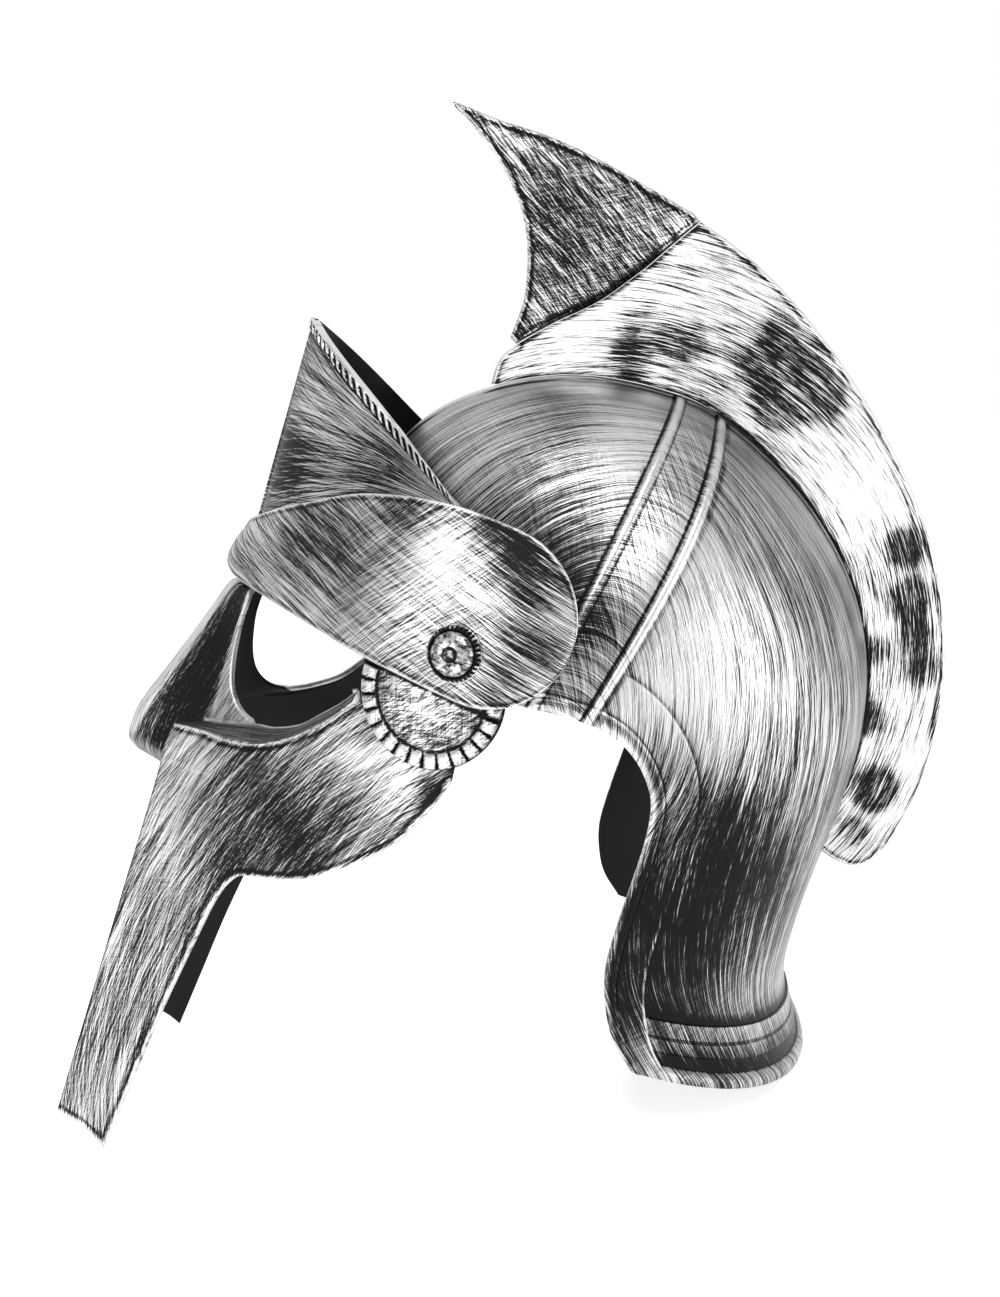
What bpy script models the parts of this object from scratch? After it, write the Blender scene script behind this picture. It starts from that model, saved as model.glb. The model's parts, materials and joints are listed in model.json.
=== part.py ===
"""A gladiator helmet with a tall crest and a visor of brow band, peak and face mask.

It is worked out as a level helmet: back is +Y, up is +Z, and X is out to the side, with the
ears' height at zero. Then the whole helmet is laid back until its cheek guards' tips and the
rim of its neck guard stand on one surface, as it rests by itself.
"""

import math

import bmesh
import bpy
import numpy as np
from mathutils import Matrix
from mathutils.geometry import delaunay_2d_cdt

# Half the helmet's width over the brow band. The mask and the skull lie inside the band.
BAND_HALF_WIDTH = 0.0985
MASK_HALF_WIDTH = BAND_HALF_WIDTH * 0.98
SKULL_HALF_WIDTH = BAND_HALF_WIDTH * 0.914

# Walls and clearances, in metres like every size here.
SKULL_WALL = 0.0026
BAND_WALL = 0.0024
PEAK_WALL = 0.0022
MASK_WALL = 0.0024
SEAT_GAP = 0.0003
MESH_STEP = 0.0095
TINY_BEVEL = 0.0004

# The skull: dome, neck guard and what is raised on them.
DOME_TOP = 0.110
DOME_BACK = 0.170
DOME_FRONT = 0.060
NECK_DROP = 0.130
RIDGE_HEIGHT = 0.0013
RIB_WIDTH = 0.0048
RIB_HEIGHT = 0.0013
BORDER_HEIGHT = 0.0011
BEAD_HEIGHT = 0.0008

# The crest stands on the dome, round a centre at the ears' height.
CREST_CENTRE_BACK = 0.050
CREST_HEIGHT = 0.067
CREST_HALF_THICKNESS = 0.0095
CREST_EDGE_HALF_THICKNESS = 0.0012
CREST_TAPER = 0.062
CREST_SEAM = 0.0018
TONGUE_SHARE = 0.5

# The visor turns on two rivets.
PIVOT_BACK = -0.0008
PIVOT_UP = -0.0025

# The brow band, from its front past the rivets to its round ends.
BAND_REACH = 0.102
BAND_TAIL = 0.0385
BAND_TOP = 0.048
BAND_DROP = 0.0195
BAND_FRONT_BULGE = 0.0048
BAND_SIDE_BULGE = 0.0016

# The peak rises from behind the band's top edge.
PEAK_TIP_UP = 0.092
PEAK_END_BACK = -0.019
PEAK_END_UP = 0.0475
PEAK_HALF_SPAN = 0.074
PEAK_TUCK = 0.005
PEAK_TRIM_WIDTH = 0.0045
PEAK_TRIM_HEIGHT = 0.0011

# The face mask: nose, eye openings, shelf under each eye, and cheek guards.
NOSE_REACH = 0.1253
NOSE_DROP = 0.1045
CHEEK_DROP = 0.2544
CHEEK_BROW_LEVEL = 0.075
CHEEK_UNDER_BAND_LEVEL = 0.020

# The ear discs lie on the mask, under the band.
DISC_RADIUS = 0.0278
DISC_BACK = -0.005
DISC_UP = -0.0215
DISC_RING_WIDTH = 0.0058
DISC_RING_HEIGHT = 0.0026
DISC_FACE_HEIGHT = 0.0016
DISC_SEAT = SEAT_GAP * 2
DISC_TEETH = 28

# The rivets.
RIVET_RING_RADIUS = 0.0108
RIVET_CAP_RADIUS = 0.0086
RIVET_RING_HEIGHT = 0.0022
RIVET_CAP_HEIGHT = 0.0052
RIVET_NIPPLE_RADIUS = 0.0027
RIVET_NIPPLE_HEIGHT = 0.0016
RIVET_SHANK_RADIUS = 0.0026
RIVET_TAIL_RADIUS = 0.0055
RIVET_TAIL_THICKNESS = 0.0018
RIVET_SIDES = 24

# Cross-sections of the skull from the forehead over the top to the neck rim. back and up place
# the section's middle, edge_back and edge_up its two ends, and width is its half-width.
# Shares of DOME_BACK or DOME_FRONT, of DOME_TOP or NECK_DROP, and of SKULL_HALF_WIDTH.
SKULL_SECTIONS = (
    # back, up, edge_back, edge_up, width
    (-1.017, 0.182, -0.133, -0.108, 0.689),
    (-0.883, 0.500, 0.012, -0.115, 0.736),
    (-0.583, 0.736, 0.059, -0.119, 0.806),
    (-0.083, 0.905, 0.106, -0.119, 0.900),
    (0.147, 0.986, 0.141, -0.112, 0.944),
    (0.306, 1.000, 0.174, -0.104, 0.972),
    (0.388, 0.985, 0.312, -0.083, 1.000),
    (0.582, 0.873, 0.388, -0.100, 1.000),
    (0.776, 0.664, 0.447, -0.146, 1.000),
    (0.900, 0.427, 0.488, -0.208, 1.000),
    (0.976, 0.155, 0.509, -0.262, 1.000),
    (1.000, -0.138, 0.521, -0.354, 1.000),
    (0.997, -0.385, 0.524, -0.462, 1.011),
    (1.003, -0.615, 0.526, -0.615, 1.022),
    (1.019, -0.738, 0.535, -0.746, 1.039),
    (1.047, -0.823, 0.562, -0.846, 1.056),
    (1.085, -0.900, 0.600, -0.927, 1.072),
    (1.129, -0.977, 0.665, -1.000, 1.089),
)
SECTION_POWER = 0.92
FRONT_RIB_ROW = 5
REAR_RIB_ROW = 6
RIDGE_END_ROW = 12
HEM_ROW = 15
RIDGE_SHARE = 0.045
BORDER_SHARE = 0.895
BEAD_SHARE = 0.974

# Heights of the crest's edges over the dome, in shares of CREST_HEIGHT, by angle.
BLADE_OUTER = (
    # angle, height
    (95.0, 1.000),
    (81.6, 0.820),
    (63.0, 0.654),
    (46.0, 0.567),
    (29.0, 0.521),
    (12.6, 0.487),
    (-2.4, 0.485),
    (-10.0, 0.458),
    (-15.7, 0.410),
    (-18.7, 0.355),
    (-20.5, 0.276),
    (-21.6, 0.150),
    (-22.0, 0.030),
)
BLADE_FRONT = (
    # angle, height
    (129.4, 0.010),
    (127.5, 0.100),
    (125.4, 0.165),
    (122.6, 0.205),
)
CREST_SEAM_LINE = (
    # angle, height
    (122.6, 0.205),
    (114.4, 0.320),
    (107.7, 0.440),
    (101.9, 0.635),
    (98.3, 0.810),
    (95.0, 1.000),
)
HORN_FRONT = (
    # angle, height
    (123.9, 0.230),
    (120.3, 0.433),
    (118.8, 0.604),
    (118.0, 0.810),
    (118.2, 1.018),
    (119.7, 1.273),
    (122.0, 1.528),
    (123.8, 1.691),
)
HORN_OUTER = (
    # angle, height
    (123.8, 1.691),
    (118.9, 1.516),
    (112.7, 1.367),
    (108.2, 1.260),
    (103.4, 1.155),
    (99.4, 1.085),
    (95.6, 1.030),
)

# The band's plan, in shares of BAND_REACH or BAND_TAIL and of BAND_HALF_WIDTH.
BAND_PLAN = (
    # back, out
    (-1.000, 0.000),
    (-0.951, 0.112),
    (-0.833, 0.244),
    (-0.730, 0.345),
    (-0.627, 0.447),
    (-0.529, 0.538),
    (-0.436, 0.629),
    (-0.343, 0.707),
    (-0.260, 0.764),
    (-0.176, 0.812),
    (-0.098, 0.853),
    (-0.010, 0.898),
    (0.180, 0.934),
    (0.390, 0.964),
    (0.650, 0.988),
    (1.000, 1.000),
)
# The band's top edge, in shares of BAND_REACH and BAND_TOP.
BAND_TOP_EDGE = (
    # back, up
    (-1.000, 0.106),
    (-0.909, 0.270),
    (-0.824, 0.400),
    (-0.741, 0.510),
    (-0.664, 0.620),
    (-0.552, 0.755),
    (-0.434, 0.855),
    (-0.319, 0.930),
    (-0.186, 0.985),
    (-0.080, 1.000),
    (0.060, 1.000),
)
# How far out the peak's top edge runs, in shares of PEAK_HALF_SPAN, at even steps back.
PEAK_SPREAD = (0.0, 0.196, 0.324, 0.412, 0.473, 0.531, 0.588, 0.662, 0.757, 0.868, 1.0)

# The mask's half-width going back, in shares of BAND_REACH and MASK_HALF_WIDTH: under the band,
# at the cheeks' upper edge, and at the tips of the cheek guards.
MASK_PLAN = (
    # back, under, brow, tip
    (-1.020, 0.030, 0.318, 0.570),
    (-0.880, 0.190, 0.402, 0.600),
    (-0.765, 0.300, 0.482, 0.625),
    (-0.618, 0.440, 0.580, 0.650),
    (-0.490, 0.550, 0.660, 0.680),
    (-0.392, 0.635, 0.726, 0.705),
    (-0.294, 0.695, 0.780, 0.730),
    (-0.196, 0.752, 0.830, 0.755),
    (-0.098, 0.803, 0.878, 0.780),
    (0.000, 0.851, 0.922, 0.805),
    (0.098, 0.897, 0.960, 0.830),
    (0.245, 0.942, 0.985, 0.850),
)
# Levels down the nose. Shares of NOSE_DROP, of NOSE_REACH and, for the sides, MASK_HALF_WIDTH.
NOSE_LEVELS = (
    # drop, ridge, crease_back, crease_out, rim_drop, rim_back, rim_out
    (0.040, 0.778, 0.730, 0.108, 0.040, 0.727, 0.113),
    (0.185, 0.790, 0.730, 0.110, 0.185, 0.727, 0.116),
    (0.228, 0.820, 0.734, 0.143, 0.228, 0.731, 0.150),
    (0.364, 0.857, 0.734, 0.155, 0.364, 0.725, 0.162),
    (0.498, 0.894, 0.733, 0.166, 0.498, 0.709, 0.195),
    (0.603, 0.924, 0.731, 0.177, 0.594, 0.676, 0.244),
    (0.690, 0.950, 0.730, 0.186, 0.645, 0.620, 0.305),
    (0.760, 0.972, 0.729, 0.192, 0.652, 0.548, 0.383),
)
NOSE_LOWER_LEVELS = (
    # drop, ridge, crease_back, crease_out
    (0.850, 0.994, 0.728, 0.198),
    (0.930, 1.000, 0.734, 0.201),
    (0.982, 0.996, 0.745, 0.196),
    (1.012, 0.965, 0.752, 0.180),
)
NOSE_STRIP_OUT = 0.0045
NOSE_STRIP_BACK = 0.0028
# The shelf under the eye: its inner line is the eye's rim, its outer line the cheek's upper edge.
# Shares of MASK_HALF_WIDTH, BAND_REACH and NOSE_DROP.
SHELF_STATIONS = (
    # inner_out, inner_back, inner_drop, outer_back, outer_drop
    (0.192, 0.896, 0.760, 0.992, 0.773),
    (0.310, 0.812, 0.712, 0.880, 0.745),
    (0.383, 0.673, 0.652, 0.761, 0.725),
    (0.456, 0.591, 0.620, 0.655, 0.690),
    (0.520, 0.495, 0.560, 0.556, 0.633),
    (0.592, 0.427, 0.478, 0.465, 0.555),
    (0.660, 0.362, 0.395, 0.385, 0.465),
    (0.712, 0.312, 0.316, 0.318, 0.372),
)
# The cheek guard's outline below the ear, in shares of BAND_REACH and CHEEK_DROP.
CHEEK_LOWER_EDGE = (
    # back, drop
    (0.127, 0.192),
    (0.088, 0.242),
    (0.020, 0.304),
    (-0.062, 0.349),
    (-0.186, 0.400),
    (-0.290, 0.434),
    (-0.432, 0.462),
    (-0.525, 0.480),
    (-0.566, 0.502),
    (-0.590, 0.530),
    (-0.605, 0.562),
)
CHEEK_REAR_EDGE = (
    # back, drop
    (-0.605, 0.562),
    (-0.658, 0.738),
    (-0.684, 0.873),
    (-0.708, 1.000),
)
CHEEK_BOTTOM_EDGE = (
    # back, drop
    (-0.708, 1.000),
    (-0.780, 0.986),
    (-0.856, 0.979),
    (-0.941, 0.977),
)
CHEEK_FRONT_EDGE = (
    # back, drop
    (-0.941, 0.977),
    (-0.958, 0.787),
    (-0.975, 0.598),
    (-0.990, 0.430),
    (-1.004, 0.348),
)
DISC_FIRST_ANGLE = 212.0
DISC_LAST_ANGLE = -52.0


def smooth_rows(table, at):
    """The table's columns at row positions such as 2.5, on a curve through every row."""
    rows = np.asarray(table, float)
    at = np.clip(np.atleast_1d(np.asarray(at, float)), 0, len(rows) - 1)
    start = np.minimum(at.astype(int), len(rows) - 2)
    padded = np.vstack([2 * rows[0] - rows[1], rows, 2 * rows[-1] - rows[-2]])
    a, b, c, d = (padded[start + step] for step in range(4))
    t = (at - start).reshape(-1, 1)
    return b + 0.5 * t * (c - a + t * (2 * a - 5 * b + 4 * c - d + t * (3 * (b - c) + d - a)))


def smooth_line(table, steps):
    """A polyline through the table's rows with this many steps between two rows."""
    count = (len(table) - 1) * steps
    return smooth_rows(table, np.linspace(0, len(table) - 1, count + 1))


def looked_up(table, column, value):
    """One column of a smooth table as a function of its first column."""
    line = smooth_line(table, 12)
    return np.interp(value, line[:, 0], line[:, column])


def signed(share, behind, ahead):
    """A share of one size where it is positive and of another where it is negative."""
    return np.where(share >= 0, share * behind, share * ahead)


def material(name, colour, roughness, metallic):
    made = bpy.data.materials.new(name)
    made.use_nodes = True
    shader = made.node_tree.nodes["Principled BSDF"]
    shader.inputs["Base Color"].default_value = (*colour, 1.0)
    shader.inputs["Roughness"].default_value = roughness
    shader.inputs["Metallic"].default_value = metallic
    return made


def mesh_object(name, points, faces, surface, centre=None):
    """An object whose faces point out: away from its centre where it is an open sheet."""
    mesh = bpy.data.meshes.new(name)
    mesh.from_pydata([tuple(map(float, point)) for point in points], [], faces)
    work = bmesh.new()
    work.from_mesh(mesh)
    bmesh.ops.remove_doubles(work, verts=work.verts, dist=2e-5)
    bmesh.ops.recalc_face_normals(work, faces=work.faces)
    if centre is not None:
        middle = np.array(centre)
        outward = sum(
            face.calc_area() * float(np.dot(face.normal, np.array(face.calc_center_median()) - middle))
            for face in work.faces
        )
        if outward < 0:
            bmesh.ops.reverse_faces(work, faces=work.faces)
    work.to_mesh(mesh)
    work.free()
    mesh.shade_smooth()
    mesh.set_sharp_from_angle(angle=math.radians(35))
    made = bpy.data.objects.new(name, mesh)
    bpy.context.scene.collection.objects.link(made)
    mesh.materials.append(surface)
    return made


def thicken(piece, wall):
    """Gives a sheet its wall, on its inner side."""
    modifier = piece.modifiers.new("wall", "SOLIDIFY")
    modifier.thickness = wall
    modifier.offset = -1.0
    modifier.use_even_offset = True
    modifier.thickness_clamp = 0.0


def mirror(piece):
    """Adds the other half of a sheet that meets the middle plane."""
    modifier = piece.modifiers.new("other half", "MIRROR")
    modifier.use_axis = (True, False, False)
    modifier.merge_threshold = 0.0001


def cut(piece, cutter):
    modifier = piece.modifiers.new("cut", "BOOLEAN")
    modifier.operation = "DIFFERENCE"
    modifier.object = cutter


def grid_faces(rows, columns):
    return [
        (row * columns + col, row * columns + col + 1, (row + 1) * columns + col + 1, (row + 1) * columns + col)
        for row in range(rows - 1)
        for col in range(columns - 1)
    ]


def inside(outline, points):
    """Which points lie inside a closed outline."""
    found = np.zeros(len(points), bool)
    for (ax, ay), (bx, by) in zip(outline, np.roll(outline, -1, axis=0)):
        crosses = (ay > points[:, 1]) != (by > points[:, 1])
        rise = by - ay if by != ay else 1e-12
        found ^= crosses & (points[:, 0] < (bx - ax) * (points[:, 1] - ay) / rise + ax)
    return found


def distance_to_line(line, points):
    """Each point's distance from an open polyline."""
    nearest = np.full(len(points), np.inf)
    for start, end in zip(line[:-1], line[1:]):
        run = end - start
        share = np.clip((points - start) @ run / max(run @ run, 1e-12), 0, 1)
        nearest = np.minimum(nearest, np.linalg.norm(points - start - share[:, None] * run, axis=1))
    return nearest


def filled(outline, spacing, groove=None):
    """Points and triangles that fill a closed outline, through a groove's line where it has one.

    The outline's own points come first.
    """
    low, high = outline.min(axis=0), outline.max(axis=0)
    across = np.arange(low[0] + spacing / 2, high[0], spacing)
    up = np.arange(low[1] + spacing / 2, high[1], spacing * 0.87)
    lattice = np.array([(x + spacing / 2 * (row % 2), y) for row, y in enumerate(up) for x in across])
    closed = np.vstack([outline, outline[:1]])
    clear = inside(outline, lattice) & (distance_to_line(closed, lattice) > spacing * 0.55)
    if groove is None:
        groove = np.empty((0, 2))
    else:
        clear &= distance_to_line(groove, lattice) > spacing * 0.55
    points = np.vstack([outline, groove, lattice[clear]])
    count = len(outline)
    edges = [(i, (i + 1) % count) for i in range(count)]
    edges += [(count + i, count + i + 1) for i in range(len(groove) - 1)]
    made = delaunay_2d_cdt([tuple(map(float, point)) for point in points], edges, [], 1, 1e-7)
    triangles = [tuple(face) for face in made[2]]
    return np.array([tuple(point) for point in made[0]]), triangles


def skull_point(row, share):
    """A point of the skull's outer face: row runs from forehead to neck rim, share from middle to edge."""
    back, up, edge_back, edge_up, width = smooth_rows(SKULL_SECTIONS, row).T
    back = signed(back, DOME_BACK, DOME_FRONT)
    up = signed(up, DOME_TOP, NECK_DROP)
    edge_back = signed(edge_back, DOME_BACK, DOME_FRONT)
    edge_up = signed(edge_up, DOME_TOP, NECK_DROP)
    angle = np.abs(share) * math.pi / 2
    along = 1 - np.maximum(np.cos(angle), 0) ** SECTION_POWER
    out = np.sign(share) * width * SKULL_HALF_WIDTH * np.sin(angle) ** SECTION_POWER
    return np.stack([out, back + (edge_back - back) * along, up + (edge_up - up) * along], axis=-1)


def skull_normal(row, share):
    step = 0.02
    along = skull_point(row + step, share) - skull_point(row - step, share)
    across = skull_point(row, np.minimum(share + step, 1)) - skull_point(row, share - step)
    normal = np.cross(across, along)
    return normal / np.maximum(np.linalg.norm(normal, axis=-1, keepdims=True), 1e-12)


def skull_lift(row, share, rib_lift):
    """How far the skull's reliefs stand out: ridge, ribs, neck border and edge bead."""
    share = np.abs(share)
    lift = np.where((share <= RIDGE_SHARE) & (row <= RIDGE_END_ROW), RIDGE_HEIGHT, rib_lift)
    border = ((share >= BORDER_SHARE) & (row > REAR_RIB_ROW + 0.3)) | (row >= HEM_ROW)
    bead = (share >= BEAD_SHARE) | (row >= len(SKULL_SECTIONS) - 1.3)
    return lift + BORDER_HEIGHT * border + BEAD_HEIGHT * bead


def skull_rows():
    """Row positions, with a shift in metres and a rib's height: each rib takes four rows."""
    last = len(SKULL_SECTIONS) - 1
    plain = [0, 0.8, 1.6, 2.4, 3.2, 4, 7, 7.7, 8.4, 9.2, 10, 11, RIDGE_END_ROW, 12.1]
    plain += [13, 14, HEM_ROW - 0.12, HEM_ROW, 16, last - 1.3, last]
    rows = [(row, 0.0, 0.0) for row in plain]
    for row in (FRONT_RIB_ROW, REAR_RIB_ROW):
        for shift, height in ((-0.5, 0), (-0.25, 1), (0.25, 1), (0.5, 0)):
            rows.append((row, shift * RIB_WIDTH, height * RIB_HEIGHT))
    return sorted(rows, key=lambda entry: entry[0] + entry[1] * 10)


def make_skull(surface):
    border, bead = BORDER_SHARE, BEAD_SHARE
    half = [RIDGE_SHARE, RIDGE_SHARE + 0.012, 0.17, 0.30, 0.44, 0.58, 0.70, 0.80]
    half += [border - 0.012, border, bead - 0.006, bead, 1.0]
    shares = np.array([-share for share in reversed(half)] + [0.0] + half)
    points = []
    rows = skull_rows()
    for row, shift, rib_lift in rows:
        at = np.full(len(shares), float(row))
        if shift:
            speed = np.linalg.norm(skull_point(at + 0.05, shares) - skull_point(at - 0.05, shares), axis=1) / 0.1
            at = at + shift / speed
        lift = skull_lift(at, shares, rib_lift)
        points.extend(skull_point(at, shares) + skull_normal(at, shares) * lift[:, None])
    centre = (0, DOME_BACK * 0.3, 0)
    skull = mesh_object("skull", points, grid_faces(len(rows), len(shares)), surface, centre)
    thicken(skull, SKULL_WALL)
    return skull


def crest_line(table, steps, lift=0.0):
    """Points of a crest edge, in back and up, from angles and heights over the dome."""
    line = smooth_line(table, steps)
    middle = skull_point(np.linspace(0, len(SKULL_SECTIONS) - 1, 400), np.zeros(400))[:, 1:]
    from_centre = middle - np.array([CREST_CENTRE_BACK, 0])
    angles = np.degrees(np.arctan2(from_centre[:, 1], from_centre[:, 0]))
    order = np.argsort(angles)
    dome = np.interp(line[:, 0], angles[order], np.linalg.norm(from_centre, axis=1)[order])
    radius = dome + RIDGE_HEIGHT + SEAT_GAP + lift + line[:, 1] * CREST_HEIGHT
    turned = np.radians(line[:, 0])
    return np.stack([CREST_CENTRE_BACK + radius * np.cos(turned), radius * np.sin(turned)], axis=1)


def crest_half_thickness(points):
    """The crest is a blade: thin along its outer and front edges, full over the dome."""
    thin = np.vstack([crest_line(BLADE_FRONT, 4), crest_line(HORN_FRONT, 4), crest_line(HORN_OUTER, 4),
                      crest_line(BLADE_OUTER, 4)])
    depth = np.clip(distance_to_line(thin, points) / CREST_TAPER, 0, 1)
    full = CREST_HALF_THICKNESS - CREST_EDGE_HALF_THICKNESS
    return CREST_EDGE_HALF_THICKNESS + full * np.sin(depth * math.pi / 2)


def make_blade(name, outline, surface, spacing, tongue=None, groove=None):
    """A closed blade from its side outline, as thick at each point as the crest is there.

    A tongue is a thinner stretch of the outline, beside the groove.
    """
    flat, triangles = filled(outline, spacing, groove)
    half = crest_half_thickness(flat)
    if tongue is not None:
        half = np.where(distance_to_line(tongue, flat) < CREST_SEAM * 0.5, half * TONGUE_SHARE, half)
    count = len(flat)
    points = np.vstack([
        np.column_stack([half, flat]),
        np.column_stack([-half, flat]),
    ])
    faces = [face for face in triangles]
    faces += [tuple(corner + count for corner in reversed(face)) for face in triangles]
    rim = len(outline)
    faces += [(i, (i + 1) % rim, (i + 1) % rim + count, i + count) for i in range(rim)]
    return mesh_object(name, points, faces, surface)


def make_crest(surface):
    base_angles = np.linspace(BLADE_OUTER[-1][0], BLADE_FRONT[0][0], 25)
    base = crest_line([(angle, 0.0) for angle in base_angles], 1)
    front = crest_line(BLADE_FRONT, 1)
    seam = crest_line(CREST_SEAM_LINE, 3)
    outer = crest_line(BLADE_OUTER, 2)
    blade = np.vstack([front, seam[1:], outer[1:], base[1:-1]])
    away = np.array([-(seam[-1] - seam[0])[1], (seam[-1] - seam[0])[0]])
    away /= np.linalg.norm(away)
    horn_seam = seam + away * SEAT_GAP * 1.5
    groove = (seam + away * (SEAT_GAP * 1.5 + CREST_SEAM))[1:-1]
    horn_front = crest_line(HORN_FRONT, 2)
    horn_outer = crest_line(HORN_OUTER, 2)
    horn = np.vstack([horn_front[1:], horn_outer[1:-1], horn_seam[::-1]])
    return (
        make_blade("crest_blade", blade, surface, MESH_STEP * 1.1),
        make_blade("crest_horn", horn, surface, MESH_STEP, horn_seam, groove),
    )


def band_plan(back):
    """The band's half-width at a distance back."""
    line = smooth_line(BAND_PLAN, 12)
    return np.interp(back, signed(line[:, 0], BAND_TAIL, BAND_REACH), line[:, 1] * BAND_HALF_WIDTH)


def band_plan_normal(back):
    """Which way the band faces, seen from above, as (out, back)."""
    step = BAND_REACH * 0.01
    slope = (band_plan(back + step) - band_plan(back - step)) / (2 * step)
    length = np.hypot(1, slope)
    return 1 / length, -slope / length


def band_top(back):
    line = smooth_line(BAND_TOP_EDGE, 12)
    return np.interp(back, signed(line[:, 0], BAND_TAIL, BAND_REACH), line[:, 1] * BAND_TOP)


def band_columns(front_steps, end_steps):
    """How far back each column of the band is, with its lower and its upper end."""
    radius = (BAND_TOP + BAND_DROP) / 2
    end_centre = BAND_TAIL - radius
    line = smooth_line(BAND_PLAN, 12)
    line = np.column_stack([signed(line[:, 0], BAND_TAIL, BAND_REACH), line[:, 1] * BAND_HALF_WIDTH])
    length = np.concatenate([[0], np.cumsum(np.linalg.norm(np.diff(line, axis=0), axis=1))])
    whole = np.interp(end_centre, line[:, 0], length)
    back = np.interp(np.linspace(0, whole, front_steps + 1), length, line[:, 0])
    columns = [(float(at), -BAND_DROP, float(band_top(at))) for at in back[:-1]]
    for turn in np.linspace(0, math.pi / 2, end_steps + 1):
        half = radius * max(math.cos(turn), 1e-6)
        middle = (BAND_TOP - BAND_DROP) / 2
        columns.append((end_centre + radius * math.sin(turn), middle - half, middle + half))
    return columns


def make_band(surface):
    across = (0.0, 0.1, 0.25, 0.45, 0.7, 1.0)
    columns = band_columns(16, 7)
    half = []
    for number, (back, low, top) in enumerate(columns):
        out = float(band_plan(back)) if number else 0.0
        face_out, face_back = band_plan_normal(back) if number else (0.0, -1.0)
        share = out / BAND_HALF_WIDTH
        bulge = BAND_FRONT_BULGE * (1 - share) + BAND_SIDE_BULGE * share
        bulge *= min(1.0, (top - low) / (BAND_DROP + BAND_TOP * 0.1))
        for part in across:
            lift = bulge * math.sin(math.pi * part**0.55)
            half.append((out + face_out * lift, back + face_back * lift, low + (top - low) * part))
    rows = len(across)
    faces = grid_faces(len(columns), rows)
    band = mesh_object("brow_band", half, faces, surface, (0, 0, 0))
    mirror(band)
    thicken(band, BAND_WALL)
    return band


def peak_base(share):
    """A point of the peak's foot, tucked behind the band's top edge."""
    back = -BAND_REACH + (PEAK_END_BACK + PEAK_TUCK * 0.8 + BAND_REACH) * share
    face_out, face_back = band_plan_normal(back)
    inset = BAND_WALL + SEAT_GAP + TINY_BEVEL
    out = np.where(share > 0, band_plan(back) - face_out * inset, 0.0)
    back_in = np.where(share > 0, back - face_back * inset, back + inset)
    return np.stack([np.maximum(out, 0), back_in, band_top(back) - PEAK_TUCK], axis=-1)


def peak_edge(share):
    """A point of the peak's top edge, which is straight seen from the side."""
    spread = smooth_rows([(value,) for value in PEAK_SPREAD], share * (len(PEAK_SPREAD) - 1))[:, 0]
    back = -BAND_REACH + (PEAK_END_BACK + BAND_REACH) * share
    up = PEAK_TIP_UP + (PEAK_END_UP - PEAK_TIP_UP) * share
    return np.stack([spread * PEAK_HALF_SPAN, back, up], axis=-1)


def make_peak(surface):
    shares = np.linspace(0, 1, 25)
    shares = shares**1.15
    foot, edge = peak_base(shares), peak_edge(shares)
    length = np.linalg.norm(edge - foot, axis=1)
    trim = 1 - PEAK_TRIM_WIDTH / np.maximum(length, PEAK_TRIM_WIDTH * 2)
    levels = [np.zeros(25), np.full(25, 0.33), np.full(25, 0.66) * trim / trim.max()]
    levels += [trim - TINY_BEVEL * 1.5 / length, trim, np.ones(25)]
    lifts = (0.0, 0.0, 0.0, 0.0, 1.0, 1.0)
    along = np.gradient(foot + edge, axis=0)
    face = np.cross(edge - foot, along)
    face /= np.linalg.norm(face, axis=1, keepdims=True)
    face[0] = (0, -1, 0)
    face *= np.where(face[:, 1:2] > 0, -1, 1)
    points = []
    for level, lift in zip(levels, lifts):
        points.extend(foot + (edge - foot) * level[:, None] + face * lift * PEAK_TRIM_HEIGHT)
    peak = mesh_object("brow_peak", points, grid_faces(len(levels), 25), surface, (0, 0, 0))
    mirror(peak)
    thicken(peak, PEAK_WALL)
    return peak


def mask_out(back, up):
    """How far out the mask's cheek lies at a place in the side view."""
    under, brow, tip = (looked_up(MASK_PLAN, column, back / BAND_REACH) for column in (1, 2, 3))
    above = np.clip((up + CHEEK_BROW_LEVEL) / (CHEEK_BROW_LEVEL - CHEEK_UNDER_BAND_LEVEL), 0, 1)
    below = np.clip((-up - CHEEK_BROW_LEVEL) / (CHEEK_DROP - CHEEK_BROW_LEVEL), 0, 1)
    upper = brow + (under - brow) * above * above * (3 - 2 * above)
    return (upper + (tip - brow) * below) * MASK_HALF_WIDTH


def nose_sheet(steps):
    """The nose from its ridge to the crease beside it, and on to the eye's rim, level by level."""
    levels = smooth_line(NOSE_LEVELS, steps)
    lower = smooth_line([NOSE_LEVELS[-1][:4], *NOSE_LOWER_LEVELS], steps)[1:]
    points, faces = [], []
    for drop, ridge, crease_back, crease_out in np.vstack([levels[:, :4], lower]):
        ridge_back = -ridge * NOSE_REACH
        crease = np.array([crease_out * MASK_HALF_WIDTH, -crease_back * NOSE_REACH])
        strip = np.array([NOSE_STRIP_OUT, ridge_back + NOSE_STRIP_BACK])
        up = -drop * NOSE_DROP
        for out, back in ((0.0, ridge_back), strip, (strip * 0.6 + crease * 0.4), crease):
            points.append((out, back, up))
    count = len(levels) + len(lower)
    faces += grid_faces(count, 4)
    return points, faces, levels


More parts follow.
